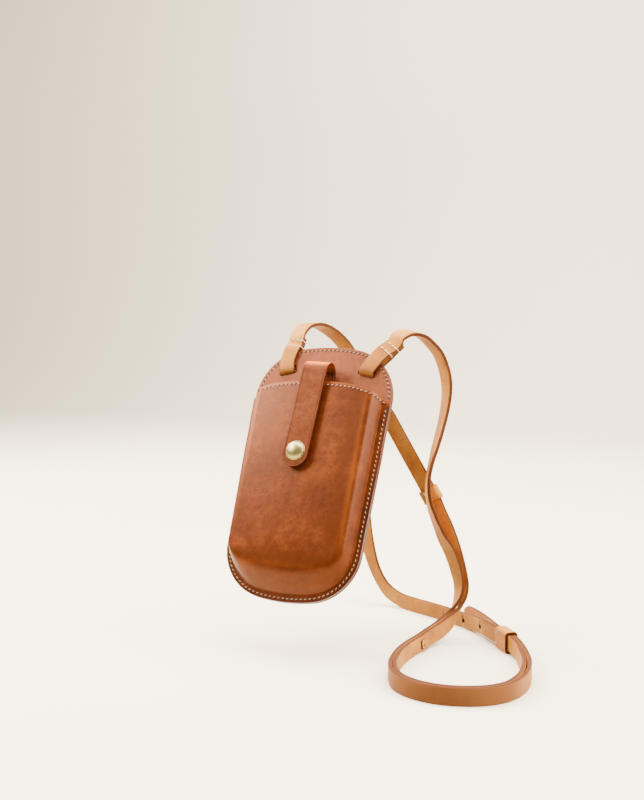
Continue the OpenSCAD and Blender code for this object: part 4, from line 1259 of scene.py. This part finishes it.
def make_keepers():
    (at, facing), (ahead, _) = LONG_TAIL[UPPER_INDEX:UPPER_INDEX + 2]
    upper = strap_frame(at, Vector(ahead) - Vector(at), facing)
    upper = upper @ Matrix.Translation((0, 0, UPPER_KEEPER_L / 2))
    lower = strap_frame(PAIR[1][0], Vector(PAIR[2][0]) - Vector(PAIR[0][0]), PAIR[1][1])
    single_t = STRAP_T + 2 * KEEPER_PLAY
    pair_t = single_t + STRAP_T + LAYER_GAP
    one = keeper("keeper_upper", upper, single_t, UPPER_KEEPER_L, "pouch", "upper_keeper")
    two = keeper("keeper_lower", lower, pair_t, LOWER_KEEPER_L, "lower_keeper", "lower_keeper")
    sewing = keeper_stitches("keeper_upper_stitches", upper, ((-3, -1.5), (-3, 2.2)),
                             -single_t / 2 - KEEPER_T, UP, "pouch", "upper_keeper_thread")
    sewing += keeper_stitches("keeper_lower_stitches", lower, ((-3.6, -6.5), (3.6, -6.5)),
                              pair_t / 2 + KEEPER_T, RIGHT, "lower_keeper", "lower_keeper_thread")
    return [one, two] + sewing


# The stitched lap on the long strap: a short tongue with a rounded end, sewn down and held by a stud
SPLICE_L = 12
SPLICE_W = 7
SPLICE_T = 1


def make_splice():
    at, facing = pair_layer(1)[SPLICE_INDEX]
    heading = Vector(PAIR[SPLICE_INDEX + 1][0]) - Vector(PAIR[SPLICE_INDEX - 1][0])
    where = strap_frame(at, heading, facing) @ Matrix.Translation((0, STRAP_T / 2 + FOLD_GAP, 0))
    half_w, half_l = SPLICE_W / 2, (SPLICE_L - SPLICE_W) / 2
    outline = [(half_w, -half_l)] + arc(0, half_l, half_w, 0, math.pi, 14) + [(-half_w, -half_l)]
    points = []
    for shrink, y in ((0.25, 0), (0, 0.2), (0, SPLICE_T - 0.3), (0.3, SPLICE_T)):
        points += [(x * (1 - shrink / half_w), y, z * (1 - shrink / (SPLICE_L / 2))) for x, z in outline]
    tongue = new_piece("splice_tongue_leather", points, swept_faces(4, len(outline)), where, STRAP_LEATHER,
                       "pouch")
    mark(tongue, "edge", lambda x, y, z: ramped(y, SPLICE_T - 0.15, SPLICE_T - 0.25), where)
    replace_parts(tongue, "splice_tongue")
    sewing = [((x, SPLICE_T, z), along, -FRONT)
              for x, z, along in ((-2.1, -1.2, UP), (2.1, -1.2, UP), (0.2, -2.3, RIGHT))]
    holes = [((x, SPLICE_T, 0.6), UP, -FRONT) for x in (-1.1, 1.2)]
    sewn = [lay_row("splice_stitches", sewing, where, STITCH, LOOP_THREAD),
            lay_row("splice_holes", holes, where, HOLE, HOLE_SHADE)]
    # The stud: a low domed button with a rounded foot
    profile = [(1.55, 0), (1.7, 0.12), (1.66, 0.35), (1.4, 0.7), (0.95, 0.95), (0.4, 1.08), (0.02, 1.12)]
    stud = new_piece("splice_stud_button", spun([(r, SPLICE_T + h) for r, h in profile], 24),
                     swept_faces(len(profile), 24), where, STRAP_LEATHER, "pouch")
    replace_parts(stud, "splice_stud")
    return [tongue, stud] + sewn


# Camera, light and the plain floor, in metres of the row frame
CAMERA_AT = (0.3474, -0.7385, 0.1146)
CAMERA_LOOK = (-0.4139, 0.9075, -0.0712)
FLOOR_HALF_W = 4
FLOOR_NEAR = -2.2
FLOOR_FAR = 1.6
SWEEP_R = 0.8
BACKDROP_TOP = 3.5


def aimed(direction):
    """The turn that points a camera or lamp along a direction."""
    return Vector(direction).to_track_quat("-Z", "Y").to_euler()


def make_camera():
    camera = linked("camera", bpy.data.cameras.new("camera"))
    camera.data.lens = 50
    camera.data.sensor_width = 36
    camera.data.clip_end = 20
    camera.location = CAMERA_AT
    camera.rotation_euler = aimed(CAMERA_LOOK)
    bpy.context.scene.camera = camera


def make_stage():
    """A pale floor that turns up smoothly into a backdrop."""
    sweep = arc(FLOOR_FAR, SWEEP_R, SWEEP_R, -math.pi / 2, 0, 16)
    depth = [(FLOOR_NEAR, 0)] + sweep + [(FLOOR_FAR + SWEEP_R, BACKDROP_TOP)]
    mesh = bpy.data.meshes.new("floor")
    mesh.from_pydata([(x, y, z + TABLE_Z * MM) for y, z in depth for x in (-FLOOR_HALF_W, FLOOR_HALF_W)], [],
                     [(2 * i, 2 * i + 1, 2 * i + 3, 2 * i + 2) for i in range(len(depth) - 1)])
    floor = linked("floor", mesh)
    for polygon in mesh.polygons:
        polygon.use_smooth = True
    material, tree, at = start_material("pale_card")
    tooth = add(tree, "ShaderNodeTexNoise", {"Vector": at, "Scale": per_mm(1.5), "Detail": 4})
    grain = add(tree, "ShaderNodeBump", {"Height": tooth, "Strength": 0.1, "Distance": 0.1 * MM})
    mesh.materials.append(end_material(material, {"Base Color": linear("#F3E4C8"), "Roughness": 0.9,
                                                  "Normal": grain}))
    # The world gives the fill from below, so that the bright floor doesn't wash out the leather
    floor.visible_diffuse = False


def softbox(name, location, size, power, colour, target=(0.03, 0, 0)):
    lamp = linked(name, bpy.data.lights.new(name, "AREA"))
    lamp.data.shape = "RECTANGLE"
    lamp.data.size, lamp.data.size_y = size
    lamp.data.energy = power
    lamp.data.color = linear(colour)[:3]
    lamp.location = location
    lamp.rotation_euler = aimed(Vector(target) - Vector(location))
    lamp.visible_camera = False


def make_lights():
    softbox("key_softbox", (-0.32, -0.2, 0.34), (0.16, 0.22), 5.4, "#FFF6EC", (-0.05, 0, 0.04))
    softbox("left_strip", (-1.0, 0.3, 0.85), (0.5, 1.1), 60, "#FFF8F0")
    softbox("right_strip", (1.1, 0.15, 0.75), (1.0, 1.3), 58, "#FFF8F0")
    softbox("overhead", (0.1, 0.25, 1.9), (2.0, 2.0), 200, "#FFFCF6")
    softbox("backdrop_wash", (-0.5, 0.9, 1.5), (1.0, 0.6), 60, "#FFF8EC", (-0.3, 2.4, 0.7))
    world = bpy.data.worlds.new("studio")
    world.use_nodes = True
    tree = world.node_tree
    at = add(tree, "ShaderNodeTexCoord", {}).outputs["Generated"]
    height = add(tree, "ShaderNodeSeparateXYZ", {"Vector": at}).outputs["Z"]
    below = add(tree, "ShaderNodeMapRange", {"Value": height, "From Min": -0.2, "From Max": 0.2,
                                             "To Min": 2.0, "To Max": 0.5})
    sky = tree.nodes["Background"]
    sky.inputs["Color"].default_value = linear("#F6EFE6")
    tree.links.new(below.outputs["Result"], sky.inputs["Strength"])
    bpy.context.scene.world = world


make_camera()
(long_strap, long_path, long_length), (short_strap, short_path, short_length) = make_straps()
hole_walls = punch_holes(long_strap)
keepers = make_keepers()
splice = make_splice()
left_sewing = sew_loop(0, ("left_loop_stitches", "left_loop_holes"), "left_loop_thread")
right_sewing = sew_loop(1, ("right_loop_stitches", "right_loop_holes"), "right_loop_thread")
make_panel()
make_pocket()
make_edge_stitching()
make_mouth_stitching()
make_tab()
make_snap()
make_stage()
make_lights()
